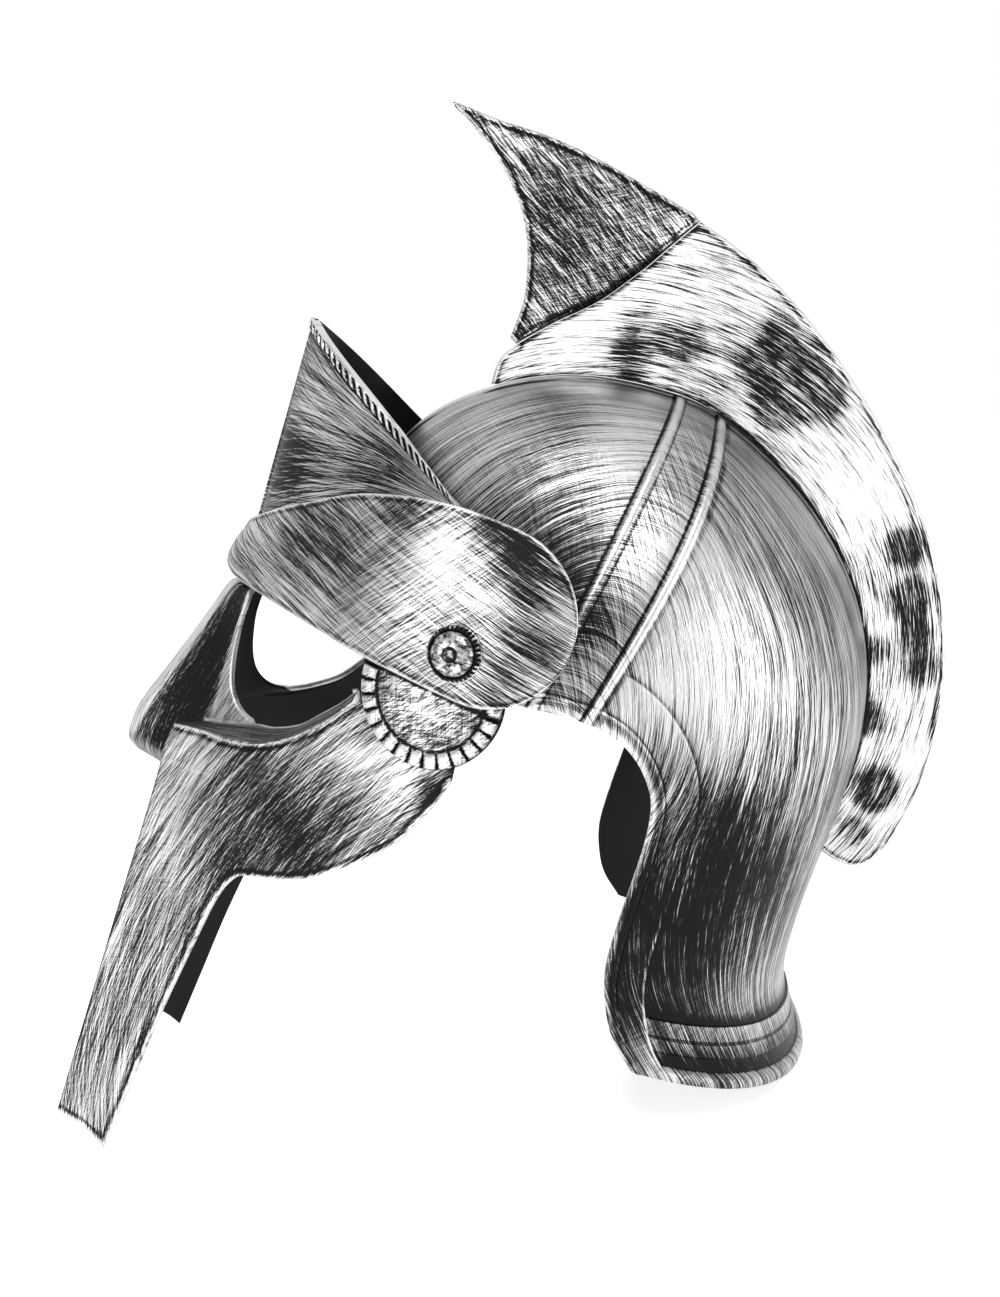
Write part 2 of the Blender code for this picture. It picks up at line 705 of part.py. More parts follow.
def make_mask(surface):
    steps = 1
    points, faces, levels = nose_sheet(steps)
    creases = [4 * row + 3 for row in range(len(levels))]
    middles, rims = [], []
    for row, (_, _, crease_back, _, rim_drop, rim_back, rim_out) in enumerate(levels):
        crease = np.array(points[creases[row]])
        rim = np.array([rim_out * MASK_HALF_WIDTH, -rim_back * NOSE_REACH, -rim_drop * NOSE_DROP])
        middle = (crease + rim) / 2
        if row == len(levels) - 1:
            station = SHELF_STATIONS[1]
            middle = np.array([station[0] * MASK_HALF_WIDTH, -station[1] * BAND_REACH, -station[2] * NOSE_DROP])
        middles.append(len(points))
        points.append(tuple(middle))
        rims.append(len(points))
        points.append(tuple(rim))
    for row in range(len(levels) - 1):
        faces.append((creases[row], middles[row], middles[row + 1], creases[row + 1]))
        faces.append((middles[row], rims[row], rims[row + 1], middles[row + 1]))

    at = [0, 1, *np.arange(2, len(SHELF_STATIONS) - 0.75, 0.5)]
    fine = smooth_rows(SHELF_STATIONS, at)
    inner = np.column_stack([fine[:, 0] * MASK_HALF_WIDTH, -fine[:, 1] * BAND_REACH, -fine[:, 2] * NOSE_DROP])
    for step, corner in enumerate((creases[-1], middles[-1], rims[-1])):
        inner[step] = points[corner]
    outer_side = np.column_stack([-fine[:, 3] * BAND_REACH, -fine[:, 4] * NOSE_DROP])
    inner[-1, 0] = mask_out(inner[-1, 1], inner[-1, 2])
    radius = DISC_RADIUS + SEAT_GAP
    turns = np.radians(np.linspace(DISC_FIRST_ANGLE, DISC_LAST_ANGLE, 17))
    ear = np.column_stack([DISC_BACK + radius * np.cos(turns), DISC_UP + radius * np.sin(turns)])
    lower = smooth_line(CHEEK_LOWER_EDGE, 2) * (BAND_REACH, -CHEEK_DROP)
    rear = smooth_line(CHEEK_REAR_EDGE, 2) * (BAND_REACH, -CHEEK_DROP)
    bottom = smooth_line(CHEEK_BOTTOM_EDGE, 1) * (BAND_REACH, -CHEEK_DROP)
    front = smooth_line(CHEEK_FRONT_EDGE, 2) * (BAND_REACH, -CHEEK_DROP)
    outline = np.vstack([outer_side, inner[-1:, 1:], ear, lower, rear[1:], bottom[1:], front[1:-1]])
    flat, triangles = filled(outline, MESH_STEP)
    first = len(points)
    out = mask_out(flat[:, 0], flat[:, 1])
    points.extend(np.column_stack([out, flat]))
    faces.extend(tuple(corner + first for corner in face) for face in triangles)
    shelf = len(points)
    points.extend(inner)
    for step in range(len(inner) - 1):
        faces.append((shelf + step, shelf + step + 1, first + step + 1, first + step))
    mask = mesh_object("face_mask", points, faces, surface, (0, 0, -0.1))
    mirror(mask)
    thicken(mask, MASK_WALL)
    return mask


def make_disc(name, side, surface):
    """An ear disc that follows the mask's face: knurled ring round a slightly domed face."""
    sides = DISC_TEETH * 2
    ring = DISC_RADIUS - DISC_RING_WIDTH
    circles = (
        # radius, height, tooth
        (ring * 0.5, DISC_FACE_HEIGHT * 1.15, 0.0),
        (ring * 0.93, DISC_FACE_HEIGHT * 0.9, 0.0),
        (ring, DISC_RING_HEIGHT * 0.8, 0.0),
        (ring + DISC_RING_WIDTH * 0.3, DISC_RING_HEIGHT, 0.35),
        (DISC_RADIUS - TINY_BEVEL * 2, DISC_RING_HEIGHT * 0.85, 0.5),
        (DISC_RADIUS, DISC_SEAT, 0.0),
        (ring * 0.5, DISC_SEAT, 0.0),
    )
    points, faces = [], []
    for radius, height, tooth in circles:
        for step in range(sides):
            turn = 2 * math.pi * step / sides
            back = DISC_BACK + radius * math.cos(turn)
            up = DISC_UP + radius * math.sin(turn)
            lift = height - tooth * DISC_RING_HEIGHT * 0.5 * (step % 2)
            points.append((side * (float(mask_out(back, up)) + lift), back, up))
    for circle in range(len(circles) - 1):
        for step in range(sides):
            after = (step + 1) % sides
            first, second = circle * sides, (circle + 1) * sides
            faces.append((first + step, first + after, second + after, second + step))
    for circle, height in ((0, DISC_FACE_HEIGHT * 1.25), (len(circles) - 1, DISC_SEAT)):
        middle = len(points)
        points.append((side * (float(mask_out(DISC_BACK, DISC_UP)) + height), DISC_BACK, DISC_UP))
        first = circle * sides
        faces += [(middle, first + step, first + (step + 1) % sides) for step in range(sides)]
    return mesh_object(name, points, faces, surface)


def turned(profile, sides):
    """A closed solid of revolution round X, from (along, radius) pairs that start and end on the axis."""
    points = [(profile[0][0], 0.0, 0.0)]
    for along, radius in profile[1:-1]:
        for step in range(sides):
            turn = 2 * math.pi * step / sides
            points.append((along, radius * math.cos(turn), radius * math.sin(turn)))
    points.append((profile[-1][0], 0.0, 0.0))
    faces = [(0, 1 + step, 1 + (step + 1) % sides) for step in range(sides)]
    for ring in range(len(profile) - 3):
        first, second = 1 + ring * sides, 1 + (ring + 1) * sides
        for step in range(sides):
            after = (step + 1) % sides
            faces.append((first + step, first + after, second + after, second + step))
    last = 1 + (len(profile) - 3) * sides
    faces += [(len(points) - 1, last + step, last + (step + 1) % sides) for step in range(sides)]
    return points, faces


def rivet_place():
    """Where the rivet's head sits on the band, and how far the band faces forward there."""
    out = float(band_plan(PIVOT_BACK))
    bulge = BAND_SIDE_BULGE + (BAND_FRONT_BULGE - BAND_SIDE_BULGE) * (1 - out / BAND_HALF_WIDTH)
    face_out, face_back = band_plan_normal(PIVOT_BACK)
    return out + bulge * 1.15, math.atan2(float(face_back), float(face_out))


def make_rivet(name, side, surface):
    """Head with ring, cap and nipple outside the band, shank through every wall, and a flat tail."""
    out, turn = rivet_place()
    inner = float(skull_side_at_pivot()) - SKULL_WALL - RIVET_TAIL_RADIUS * 0.65
    head_profile = (
        (0.0, 0.0),
        (0.0, RIVET_RING_RADIUS - TINY_BEVEL),
        (RIVET_RING_HEIGHT * 0.5, RIVET_RING_RADIUS),
        (RIVET_RING_HEIGHT, RIVET_RING_RADIUS - TINY_BEVEL * 1.5),
        (RIVET_RING_HEIGHT, RIVET_CAP_RADIUS + TINY_BEVEL * 0.5),
        (RIVET_RING_HEIGHT * 0.8, RIVET_CAP_RADIUS),
        (RIVET_RING_HEIGHT + (RIVET_CAP_HEIGHT - RIVET_RING_HEIGHT) * 0.55, RIVET_CAP_RADIUS * 0.8),
        (RIVET_RING_HEIGHT + (RIVET_CAP_HEIGHT - RIVET_RING_HEIGHT) * 0.9, RIVET_CAP_RADIUS * 0.5),
        (RIVET_CAP_HEIGHT, RIVET_NIPPLE_RADIUS),
        (RIVET_CAP_HEIGHT + RIVET_NIPPLE_HEIGHT * 0.7, RIVET_NIPPLE_RADIUS * 0.8),
        (RIVET_CAP_HEIGHT + RIVET_NIPPLE_HEIGHT, 0.0),
    )
    points, faces = turned(head_profile, RIVET_SIDES)
    head = mesh_object(name, points, faces, surface)
    head.data.transform(Matrix.Translation((SEAT_GAP * 2.5, 0, 0)))
    head.data.transform(Matrix.Rotation(turn, 4, "Z"))
    head.data.transform(Matrix.Translation((out, PIVOT_BACK, PIVOT_UP)))
    shank_profile = (
        (inner - RIVET_TAIL_THICKNESS, 0.0),
        (inner - RIVET_TAIL_THICKNESS, RIVET_TAIL_RADIUS),
        (inner, RIVET_TAIL_RADIUS),
        (inner + TINY_BEVEL * 0.5, RIVET_SHANK_RADIUS),
        (out + RIVET_RING_HEIGHT, RIVET_SHANK_RADIUS),
        (out + RIVET_RING_HEIGHT, 0.0),
    )
    points, faces = turned(shank_profile, 12)
    shank = mesh_object(name + "_shank", points, faces, surface)
    shank.data.transform(Matrix.Translation((0, PIVOT_BACK, PIVOT_UP)))
    if side < 0:
        for piece in (head, shank):
            piece.data.transform(Matrix.Scale(-1, 4, (1, 0, 0)))
            piece.data.flip_normals()
    shank.hide_render = True
    shank.display_type = "WIRE"
    joined = head.modifiers.new("shank", "BOOLEAN")
    joined.operation = "UNION"
    joined.object = shank
    return head


def skull_side_at_pivot():
    """How far out the skull's side lies at the pivot, found on its sections."""
    rows = np.repeat(np.linspace(0, 8, 161), 60)
    shares = np.tile(np.linspace(0.3, 1, 60), 161)
    points = skull_point(rows, shares)
    near = np.hypot(points[:, 1] - PIVOT_BACK, points[:, 2] - PIVOT_UP)
    return points[np.argmin(near), 0]


def make_pivot_cutter(name, radius):
    points, faces = turned(
        ((-BAND_HALF_WIDTH * 1.3, 0.0), (-BAND_HALF_WIDTH * 1.3, radius), (BAND_HALF_WIDTH * 1.3, radius),
         (BAND_HALF_WIDTH * 1.3, 0.0)), 16)
    cutter = mesh_object(name, points, faces, None)
    cutter.data.transform(Matrix.Translation((0, PIVOT_BACK, PIVOT_UP)))
    cutter.hide_render = True
    cutter.display_type = "WIRE"
    return cutter


def world_points(pieces):
    """Every vertex of the finished pieces, before the helmet is laid back."""
    graph = bpy.context.evaluated_depsgraph_get()
    found = []
    for piece in pieces:
        mesh = piece.evaluated_get(graph).to_mesh()
        flat = np.empty(len(mesh.vertices) * 3)
        mesh.vertices.foreach_get("co", flat)
        found.append(flat.reshape(-1, 3))
    return np.vstack(found)


def rest_tilt(mask, skull):
    """The angle at which the mask's lowest point and the skull's are on one level."""
    low, high = 0.0, math.radians(45)
    mask_points, skull_points = world_points([mask]), world_points([skull])
    for _ in range(40):
        tilt = (low + high) / 2
        heights = [
            (points[:, 2] * math.cos(tilt) - points[:, 1] * math.sin(tilt)).min()
            for points in (mask_points, skull_points)
        ]
        if heights[0] < heights[1]:
            low = tilt
        else:
            high = tilt
    return (low + high) / 2


def lay_back(pieces, mask, skull):
    """Parents every piece to one empty that sets the helmet down as it rests, over the origin."""
    tilt = rest_tilt(mask, skull)
    turn = Matrix.Rotation(-tilt, 4, "X")
    points = world_points(pieces) @ np.array(turn.to_3x3()).T
    low, high = points.min(axis=0), points.max(axis=0)
    stand = bpy.data.objects.new("helmet", None)
    bpy.context.scene.collection.objects.link(stand)
    stand.rotation_euler = (-tilt, 0, 0)
    stand.location = (-(low[0] + high[0]) / 2, -(low[1] + high[1]) / 2, -low[2])
    hinge = bpy.data.objects.new("visor_pivot", None)
    bpy.context.scene.collection.objects.link(hinge)
    hinge.location = (0, PIVOT_BACK, PIVOT_UP)
    hinge.parent = stand
    for piece in bpy.data.objects:
        if piece.type != "MESH":
            continue
        if piece.name.startswith(("brow", "face", "ear", "rivet")):
            piece.parent = hinge
            piece.location = (0, -PIVOT_BACK, -PIVOT_UP)
        else:
            piece.parent = stand


def main():
    for piece in list(bpy.data.objects):
        bpy.data.objects.remove(piece, do_unlink=True)
    silver = material("brushed silver", (0.55, 0.55, 0.56), 0.36, 0.85)
    crest_silver = material("crest silver", (0.62, 0.62, 0.63), 0.34, 0.85)
    trim_silver = material("bright trim", (0.72, 0.72, 0.72), 0.30, 0.85)
    dark_metal = material("rivet metal", (0.42, 0.42, 0.42), 0.38, 0.85)
    skull = make_skull(silver)
    blade, horn = make_crest(crest_silver)
    band = make_band(silver)
    peak = make_peak(silver)
    mask = make_mask(silver)
    shank_hole = make_pivot_cutter("shank_hole", RIVET_SHANK_RADIUS + SEAT_GAP)
    for piece in (skull, band, mask):
        cut(piece, shank_hole)
    pieces = [skull, blade, horn, band, peak, mask]
    for word, side in (("left", 1), ("right", -1)):
        disc = make_disc("ear_disc_" + word, side, trim_silver)
        cut(disc, shank_hole)
        pieces.append(disc)
        pieces.append(make_rivet("rivet_" + word, side, dark_metal))
    bpy.context.view_layer.update()
    lay_back(pieces, mask, skull)


main()
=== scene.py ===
"""Looks of the gladiator helmet: the solids' shapes again on fine meshes, dry-brushed silver over black."""

import json
import math

import bmesh
import bpy
import numpy as np
from mathutils import Matrix, Vector
from mathutils.geometry import delaunay_2d_cdt


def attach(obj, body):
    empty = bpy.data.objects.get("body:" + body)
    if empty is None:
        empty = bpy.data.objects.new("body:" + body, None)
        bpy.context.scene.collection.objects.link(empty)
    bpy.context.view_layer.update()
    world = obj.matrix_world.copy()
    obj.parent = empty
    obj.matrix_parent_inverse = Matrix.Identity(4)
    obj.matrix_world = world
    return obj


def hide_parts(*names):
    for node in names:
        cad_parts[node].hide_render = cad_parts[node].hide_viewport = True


# Half the helmet's width over the brow band. The mask and the skull lie inside the band.
BAND_HALF_WIDTH = 0.0985
MASK_HALF_WIDTH = BAND_HALF_WIDTH * 0.98
SKULL_HALF_WIDTH = BAND_HALF_WIDTH * 0.914

# Walls and clearances, in metres like every size here.
SKULL_WALL = 0.0026
BAND_WALL = 0.0024
PEAK_WALL = 0.0022
MASK_WALL = 0.0024
SEAT_GAP = 0.0003
TINY_BEVEL = 0.0004

# The skull: dome, neck guard and what is raised on them.
DOME_TOP = 0.110
DOME_BACK = 0.170
DOME_FRONT = 0.060
NECK_DROP = 0.130
RIDGE_HEIGHT = 0.0013
RIDGE_FLAT_HALF_WIDTH = 0.0072
RIDGE_SLOPE = 0.0026
RIB_WIDTH = 0.0048
RIB_HALF_WIDTH = RIB_WIDTH * 0.42
RIB_HEIGHT = 0.0013
BORDER_HEIGHT = 0.0011

# The crest stands on the dome, round a centre at the ears' height.
CREST_CENTRE_BACK = 0.050
CREST_HEIGHT = 0.067
CREST_HALF_THICKNESS = 0.0095
CREST_EDGE_HALF_THICKNESS = 0.0012
CREST_TAPER = 0.062
CREST_SEAM = 0.0018
TONGUE_SHARE = 0.5

# The visor turns on two rivets.
PIVOT_BACK = -0.0008
PIVOT_UP = -0.0025

# The brow band, from its front past the rivets to its round ends.
BAND_REACH = 0.102
BAND_TAIL = 0.0385
BAND_TOP = 0.048
BAND_DROP = 0.0195
BAND_FRONT_BULGE = 0.0048
BAND_SIDE_BULGE = 0.0016

# The peak rises from behind the band's top edge.
PEAK_TIP_UP = 0.092
PEAK_END_BACK = -0.019
PEAK_END_UP = 0.0475
PEAK_HALF_SPAN = 0.074
PEAK_TUCK = 0.005
PEAK_TRIM_WIDTH = 0.0045
PEAK_TRIM_HEIGHT = 0.0011

# The face mask: nose, eye openings, shelf under each eye, and cheek guards.
NOSE_REACH = 0.1253
NOSE_DROP = 0.1045
CHEEK_DROP = 0.2544
CHEEK_BROW_LEVEL = 0.075
CHEEK_UNDER_BAND_LEVEL = 0.020

# The ear discs lie on the mask, under the band.
DISC_RADIUS = 0.0278
DISC_BACK = -0.005
DISC_UP = -0.0215
DISC_RING_WIDTH = 0.0058
DISC_RING_HEIGHT = 0.0026
DISC_FACE_HEIGHT = 0.0016
DISC_SEAT = SEAT_GAP * 2
DISC_TEETH = 28

# The rivets.
RIVET_RING_RADIUS = 0.0108
RIVET_CAP_RADIUS = 0.0086
RIVET_RING_HEIGHT = 0.0022
RIVET_CAP_HEIGHT = 0.0052
RIVET_NIPPLE_RADIUS = 0.0027
RIVET_NIPPLE_HEIGHT = 0.0016
RIVET_SHANK_RADIUS = 0.0026
RIVET_TAIL_RADIUS = 0.0055
RIVET_TAIL_THICKNESS = 0.0018

# Cross-sections of the skull from the forehead over the top to the neck rim. back and up place
# the section's middle, edge_back and edge_up its two ends, and width is its half-width.
# Shares of DOME_BACK or DOME_FRONT, of DOME_TOP or NECK_DROP, and of SKULL_HALF_WIDTH.
SKULL_SECTIONS = (
    # back, up, edge_back, edge_up, width
    (-1.017, 0.182, -0.133, -0.108, 0.689),
    (-0.883, 0.500, 0.012, -0.115, 0.736),
    (-0.583, 0.736, 0.059, -0.119, 0.806),
    (-0.083, 0.905, 0.106, -0.119, 0.900),
    (0.147, 0.986, 0.141, -0.112, 0.944),
    (0.306, 1.000, 0.174, -0.104, 0.972),
    (0.388, 0.985, 0.312, -0.083, 1.000),
    (0.582, 0.873, 0.388, -0.100, 1.000),
    (0.776, 0.664, 0.447, -0.146, 1.000),
    (0.900, 0.427, 0.488, -0.208, 1.000),
    (0.976, 0.155, 0.509, -0.262, 1.000),
    (1.000, -0.138, 0.521, -0.354, 1.000),
    (0.997, -0.385, 0.524, -0.462, 1.011),
    (1.003, -0.615, 0.526, -0.615, 1.022),
    (1.019, -0.738, 0.535, -0.746, 1.039),
    (1.047, -0.823, 0.562, -0.846, 1.056),
    (1.085, -0.900, 0.600, -0.927, 1.072),
    (1.129, -0.977, 0.665, -1.000, 1.089),
)
SECTION_POWER = 0.92
FRONT_RIB_ROW = 5
REAR_RIB_ROW = 6
RIDGE_END_ROW = 12

# Heights of the crest's edges over the dome, in shares of CREST_HEIGHT, by angle.
BLADE_OUTER = (
    # angle, height
    (95.0, 1.000),
    (81.6, 0.820),
    (63.0, 0.654),
    (46.0, 0.567),
    (29.0, 0.521),
    (12.6, 0.487),
    (-2.4, 0.485),
    (-10.0, 0.458),
    (-15.7, 0.410),
    (-18.7, 0.355),
    (-20.5, 0.276),
    (-21.6, 0.150),
    (-22.0, 0.030),
)
BLADE_FRONT = (
    # angle, height
    (129.4, 0.010),
    (127.5, 0.100),
    (125.4, 0.165),
    (122.6, 0.205),
)
CREST_SEAM_LINE = (
    # angle, height
    (122.6, 0.205),
    (114.4, 0.320),
    (107.7, 0.440),
    (101.9, 0.635),
    (98.3, 0.810),
    (95.0, 1.000),
)
HORN_FRONT = (
    # angle, height
    (123.9, 0.230),
    (120.3, 0.433),
    (118.8, 0.604),
    (118.0, 0.810),
    (118.2, 1.018),
    (119.7, 1.273),
    (122.0, 1.528),
    (123.8, 1.691),
)
HORN_OUTER = (
    # angle, height
    (123.8, 1.691),
    (118.9, 1.516),
    (112.7, 1.367),
    (108.2, 1.260),
    (103.4, 1.155),
    (99.4, 1.085),
    (95.6, 1.030),
)

# The band's plan, in shares of BAND_REACH or BAND_TAIL and of BAND_HALF_WIDTH.
BAND_PLAN = (
    # back, out
    (-1.000, 0.000),
    (-0.951, 0.112),
    (-0.833, 0.244),
    (-0.730, 0.345),
    (-0.627, 0.447),
    (-0.529, 0.538),
    (-0.436, 0.629),
    (-0.343, 0.707),
    (-0.260, 0.764),
    (-0.176, 0.812),
    (-0.098, 0.853),
    (-0.010, 0.898),
    (0.180, 0.934),
    (0.390, 0.964),
    (0.650, 0.988),
    (1.000, 1.000),
)
# The band's top edge, in shares of BAND_REACH and BAND_TOP.
BAND_TOP_EDGE = (
    # back, up
    (-1.000, 0.106),
    (-0.909, 0.270),
    (-0.824, 0.400),
    (-0.741, 0.510),
    (-0.664, 0.620),
    (-0.552, 0.755),
    (-0.434, 0.855),
    (-0.319, 0.930),
    (-0.186, 0.985),
    (-0.080, 1.000),
    (0.060, 1.000),
)
# How far out the peak's top edge runs, in shares of PEAK_HALF_SPAN, at even steps back.
PEAK_SPREAD = (0.0, 0.196, 0.324, 0.412, 0.473, 0.531, 0.588, 0.662, 0.757, 0.868, 1.0)

# The mask's half-width going back, in shares of BAND_REACH and MASK_HALF_WIDTH: under the band,
# at the cheeks' upper edge, and at the tips of the cheek guards.
MASK_PLAN = (
    # back, under, brow, tip
    (-1.020, 0.030, 0.318, 0.570),
    (-0.880, 0.190, 0.402, 0.600),
    (-0.765, 0.300, 0.482, 0.625),
    (-0.618, 0.440, 0.580, 0.650),
    (-0.490, 0.550, 0.660, 0.680),
    (-0.392, 0.635, 0.726, 0.705),
    (-0.294, 0.695, 0.780, 0.730),
    (-0.196, 0.752, 0.830, 0.755),
    (-0.098, 0.803, 0.878, 0.780),
    (0.000, 0.851, 0.922, 0.805),
    (0.098, 0.897, 0.960, 0.830),
    (0.245, 0.942, 0.985, 0.850),
)
# Levels down the nose. Shares of NOSE_DROP, of NOSE_REACH and, for the sides, MASK_HALF_WIDTH.
NOSE_LEVELS = (
    # drop, ridge, crease_back, crease_out, rim_drop, rim_back, rim_out
    (0.040, 0.778, 0.730, 0.108, 0.040, 0.727, 0.113),
    (0.185, 0.790, 0.730, 0.110, 0.185, 0.727, 0.116),
    (0.228, 0.820, 0.734, 0.143, 0.228, 0.731, 0.150),
    (0.364, 0.857, 0.734, 0.155, 0.364, 0.725, 0.162),
    (0.498, 0.894, 0.733, 0.166, 0.498, 0.709, 0.195),
    (0.603, 0.924, 0.731, 0.177, 0.594, 0.676, 0.244),
    (0.690, 0.950, 0.730, 0.186, 0.645, 0.620, 0.305),
    (0.760, 0.972, 0.729, 0.192, 0.652, 0.548, 0.383),
)
NOSE_LOWER_LEVELS = (
    # drop, ridge, crease_back, crease_out
    (0.850, 0.994, 0.728, 0.198),
    (0.930, 1.000, 0.734, 0.201),
    (0.982, 0.996, 0.745, 0.196),
    (1.012, 0.965, 0.752, 0.180),
)
NOSE_STRIP_OUT = 0.0045
NOSE_STRIP_BACK = 0.0028
# The shelf under the eye: its inner line is the eye's rim, its outer line the cheek's upper edge.
# Shares of MASK_HALF_WIDTH, BAND_REACH and NOSE_DROP.
SHELF_STATIONS = (
    # inner_out, inner_back, inner_drop, outer_back, outer_drop
    (0.192, 0.896, 0.760, 0.992, 0.773),
    (0.310, 0.812, 0.712, 0.880, 0.745),
    (0.383, 0.673, 0.652, 0.761, 0.725),
    (0.456, 0.591, 0.620, 0.655, 0.690),
    (0.520, 0.495, 0.560, 0.556, 0.633),
    (0.592, 0.427, 0.478, 0.465, 0.555),
    (0.660, 0.362, 0.395, 0.385, 0.465),
    (0.712, 0.312, 0.316, 0.318, 0.372),
)
# The cheek guard's outline below the ear, in shares of BAND_REACH and CHEEK_DROP.
CHEEK_LOWER_EDGE = (
    # back, drop
    (0.127, 0.192),
    (0.088, 0.242),
    (0.020, 0.304),
    (-0.062, 0.349),
    (-0.186, 0.400),
    (-0.290, 0.434),
    (-0.432, 0.462),
    (-0.525, 0.480),
    (-0.566, 0.502),
    (-0.590, 0.530),
    (-0.605, 0.562),
)
CHEEK_REAR_EDGE = (
    # back, drop
    (-0.605, 0.562),
    (-0.658, 0.738),
    (-0.684, 0.873),
    (-0.708, 1.000),
)
CHEEK_BOTTOM_EDGE = (
    # back, drop
    (-0.708, 1.000),
    (-0.780, 0.986),
    (-0.856, 0.979),
    (-0.941, 0.977),
)
CHEEK_FRONT_EDGE = (
    # back, drop
    (-0.941, 0.977),
    (-0.958, 0.787),
    (-0.975, 0.598),
    (-0.990, 0.430),
    (-1.004, 0.348),
)
DISC_FIRST_ANGLE = 212.0
DISC_LAST_ANGLE = -52.0

# How far the level helmet is laid back at rest, in degrees.
REST_TILT = 25.74905

# The camera, set out in a frame that is turned and shifted from the level one.
CAMERA_TURN = 19.0
CAMERA_SHIFT_BACK = -0.010
CAMERA_SHIFT_UP = 0.017
CAMERA_DISTANCE = 0.640
CAMERA_ELEVATION = 10.6
CAMERA_AZIMUTH = 93.0
CAMERA_FOCUS_PIXELS = 1510.4
PHOTO_HEIGHT_PIXELS = 1297
SENSOR_WIDTH = 36.0

# The studio: softboxes, floor and what is seen beyond it.
LIGHT_TARGET = (0.0, 0.02, 0.2)
LIGHTS = (
    # name, place, size, power
    ("key", (0.85, 0.15, 1.05), (0.5, 0.4), 8.0),
    ("left", (0.95, -0.85, 0.45), (0.35, 0.7), 6.0),
    ("right", (0.75, 1.05, 0.35), (0.3, 0.7), 4.5),
)
FLOOR_HALF_WIDTH = 4.0
FLOOR_GLOW = 0.66
FLOOR_STOPS = ((0.0, (0.86, 0.86, 0.86)), (1.0, (0.90, 0.90, 0.90)))
WORLD_STOPS = ((0.42, (1.0, 1.0, 1.0)), (0.72, (0.16, 0.16, 0.16)))

# Black plastic, and how bright the silver is by how much of it covers the black.
BLACK_STOPS = ((0.0, (0.004, 0.004, 0.0044)), (1.0, (0.009, 0.009, 0.0096)))
BLACK_SPECULAR = 0.14
SILVER_STOPS = ((0.14, 0.004), (0.32, 0.025), (0.45, 0.14), (0.57, 0.40), (0.72, 0.76), (0.92, 1.0))
SILVER_SPECULAR = 0.10

# Where the cheek's strokes turn round, in the side view of the level helmet, and the slant of the horn's.
CHEEK_STROKE_CENTRE = (0.189, -0.196)
HORN_STROKE_DEGREES = -30.0

# How the dome's rows are averaged: offset in shares of the reach, and weight.
ROW_WEIGHTS = ((-1.0, 0.10), (-0.55, 0.22), (0.0, 0.36), (0.55, 0.22), (1.0, 0.10))

# How far the rear rib bows back at mid-height, in rows.
REAR_RIB_BOW = 0.22

# How far the dome's strokes sweep away from the ridge, by row.
STROKE_SWEEP = (
    # row, sweep
    (0, 0.045),
    (1, 0.040),
    (2, 0.032),
    (3, 0.022),
    (4, 0.010),
    (5, 0.0),
    (6, 0.0),
    (7, 0.015),
    (8, 0.027),
    (9, 0.034),
    (10, 0.037),
    (11, 0.036),
    (12, 0.033),
    (13, 0.030),
    (14, 0.027),
    (15, 0.024),
    (16, 0.022),
    (17, 0.020),
)

# A distance that counts as far from any worn edge.
FAR = 0.02

# Where the band's strokes are crossed most.
BAND_CROSSED_BACK = -0.024
BAND_CROSSED_REACH = 0.040

# A low rim along the crest's edges.
CREST_RIM_HEIGHT = 0.0004

# Tones across the nose's side, from its ridge to the crease.
NOSE_SHADES = (0.25, 0.25, 0.65, 0.40, -0.10, -0.25, -0.42, -0.50, -0.55, -0.58, -0.60, -0.60, -0.58, -0.55,
               -0.50, -0.25)

# Soft patches that make the paint lighter or darker, in metres in the level side view.
# On the crest they are mostly where more silver or less covers the black; on the dome they are
# painted highlights and painted shade.
DOME_PAINTED_LIGHT_PATCHES = (
    # back, up, reach, tone
    (0.015, 0.052, 0.026, -0.30),
    (0.038, 0.024, 0.016, -0.38),
    (-0.013, 0.068, 0.018, 0.21),
    (0.034, 0.086, 0.020, 0.27),
    (0.057, 0.052, 0.018, 0.22),
    (0.083, 0.022, 0.026, 0.38),
    (0.070, 0.060, 0.012, 0.18),
    (0.112, -0.050, 0.028, -0.39),
    (0.120, -0.028, 0.020, -0.22),
    (0.112, -0.082, 0.026, -0.42),
    (0.140, -0.060, 0.026, -0.18),
    (0.094, -0.067, 0.012, -0.22),
    (0.098, -0.106, 0.020, -0.30),
)
CREST_PATCHES = (
    # back, up, reach, tone
    (0.026, 0.128, 0.011, -0.42),
    (0.043, 0.131, 0.011, -0.60),
    (0.026, 0.118, 0.009, -0.45),
    (0.080, 0.146, 0.009, -0.75),
    (0.074, 0.133, 0.009, -0.68),
    (0.088, 0.122, 0.013, -0.90),
    (0.104, 0.129, 0.011, -0.83),
    (0.095, 0.140, 0.009, -0.60),
    (0.134, 0.102, 0.020, 0.30),
    (0.158, 0.083, 0.009, -0.90),
    (0.168, 0.064, 0.010, -0.90),
    (0.176, 0.050, 0.008, -0.68),
    (0.184, 0.038, 0.008, -0.60),
    (0.162, 0.040, 0.007, -0.60),
    (0.170, 0.012, 0.008, -0.60),
    (0.184, -0.016, 0.010, -1.12),
    (0.182, -0.036, 0.007, -0.60),
    (-0.002, 0.112, 0.012, 0.20),
    (0.008, 0.130, 0.012, 0.15),
    (0.203, 0.002, 0.012, 0.25),
)
HORN_PATCHES = (
    # back, up, reach, tone
    (-0.017, 0.150, 0.018, -0.14),
    (-0.008, 0.168, 0.014, -0.12),
    (-0.030, 0.178, 0.012, -0.10),
    (0.028, 0.170, 0.012, 0.25),
    (-0.052, 0.186, 0.010, 0.10),
    (-0.016, 0.122, 0.008, 0.20),
)
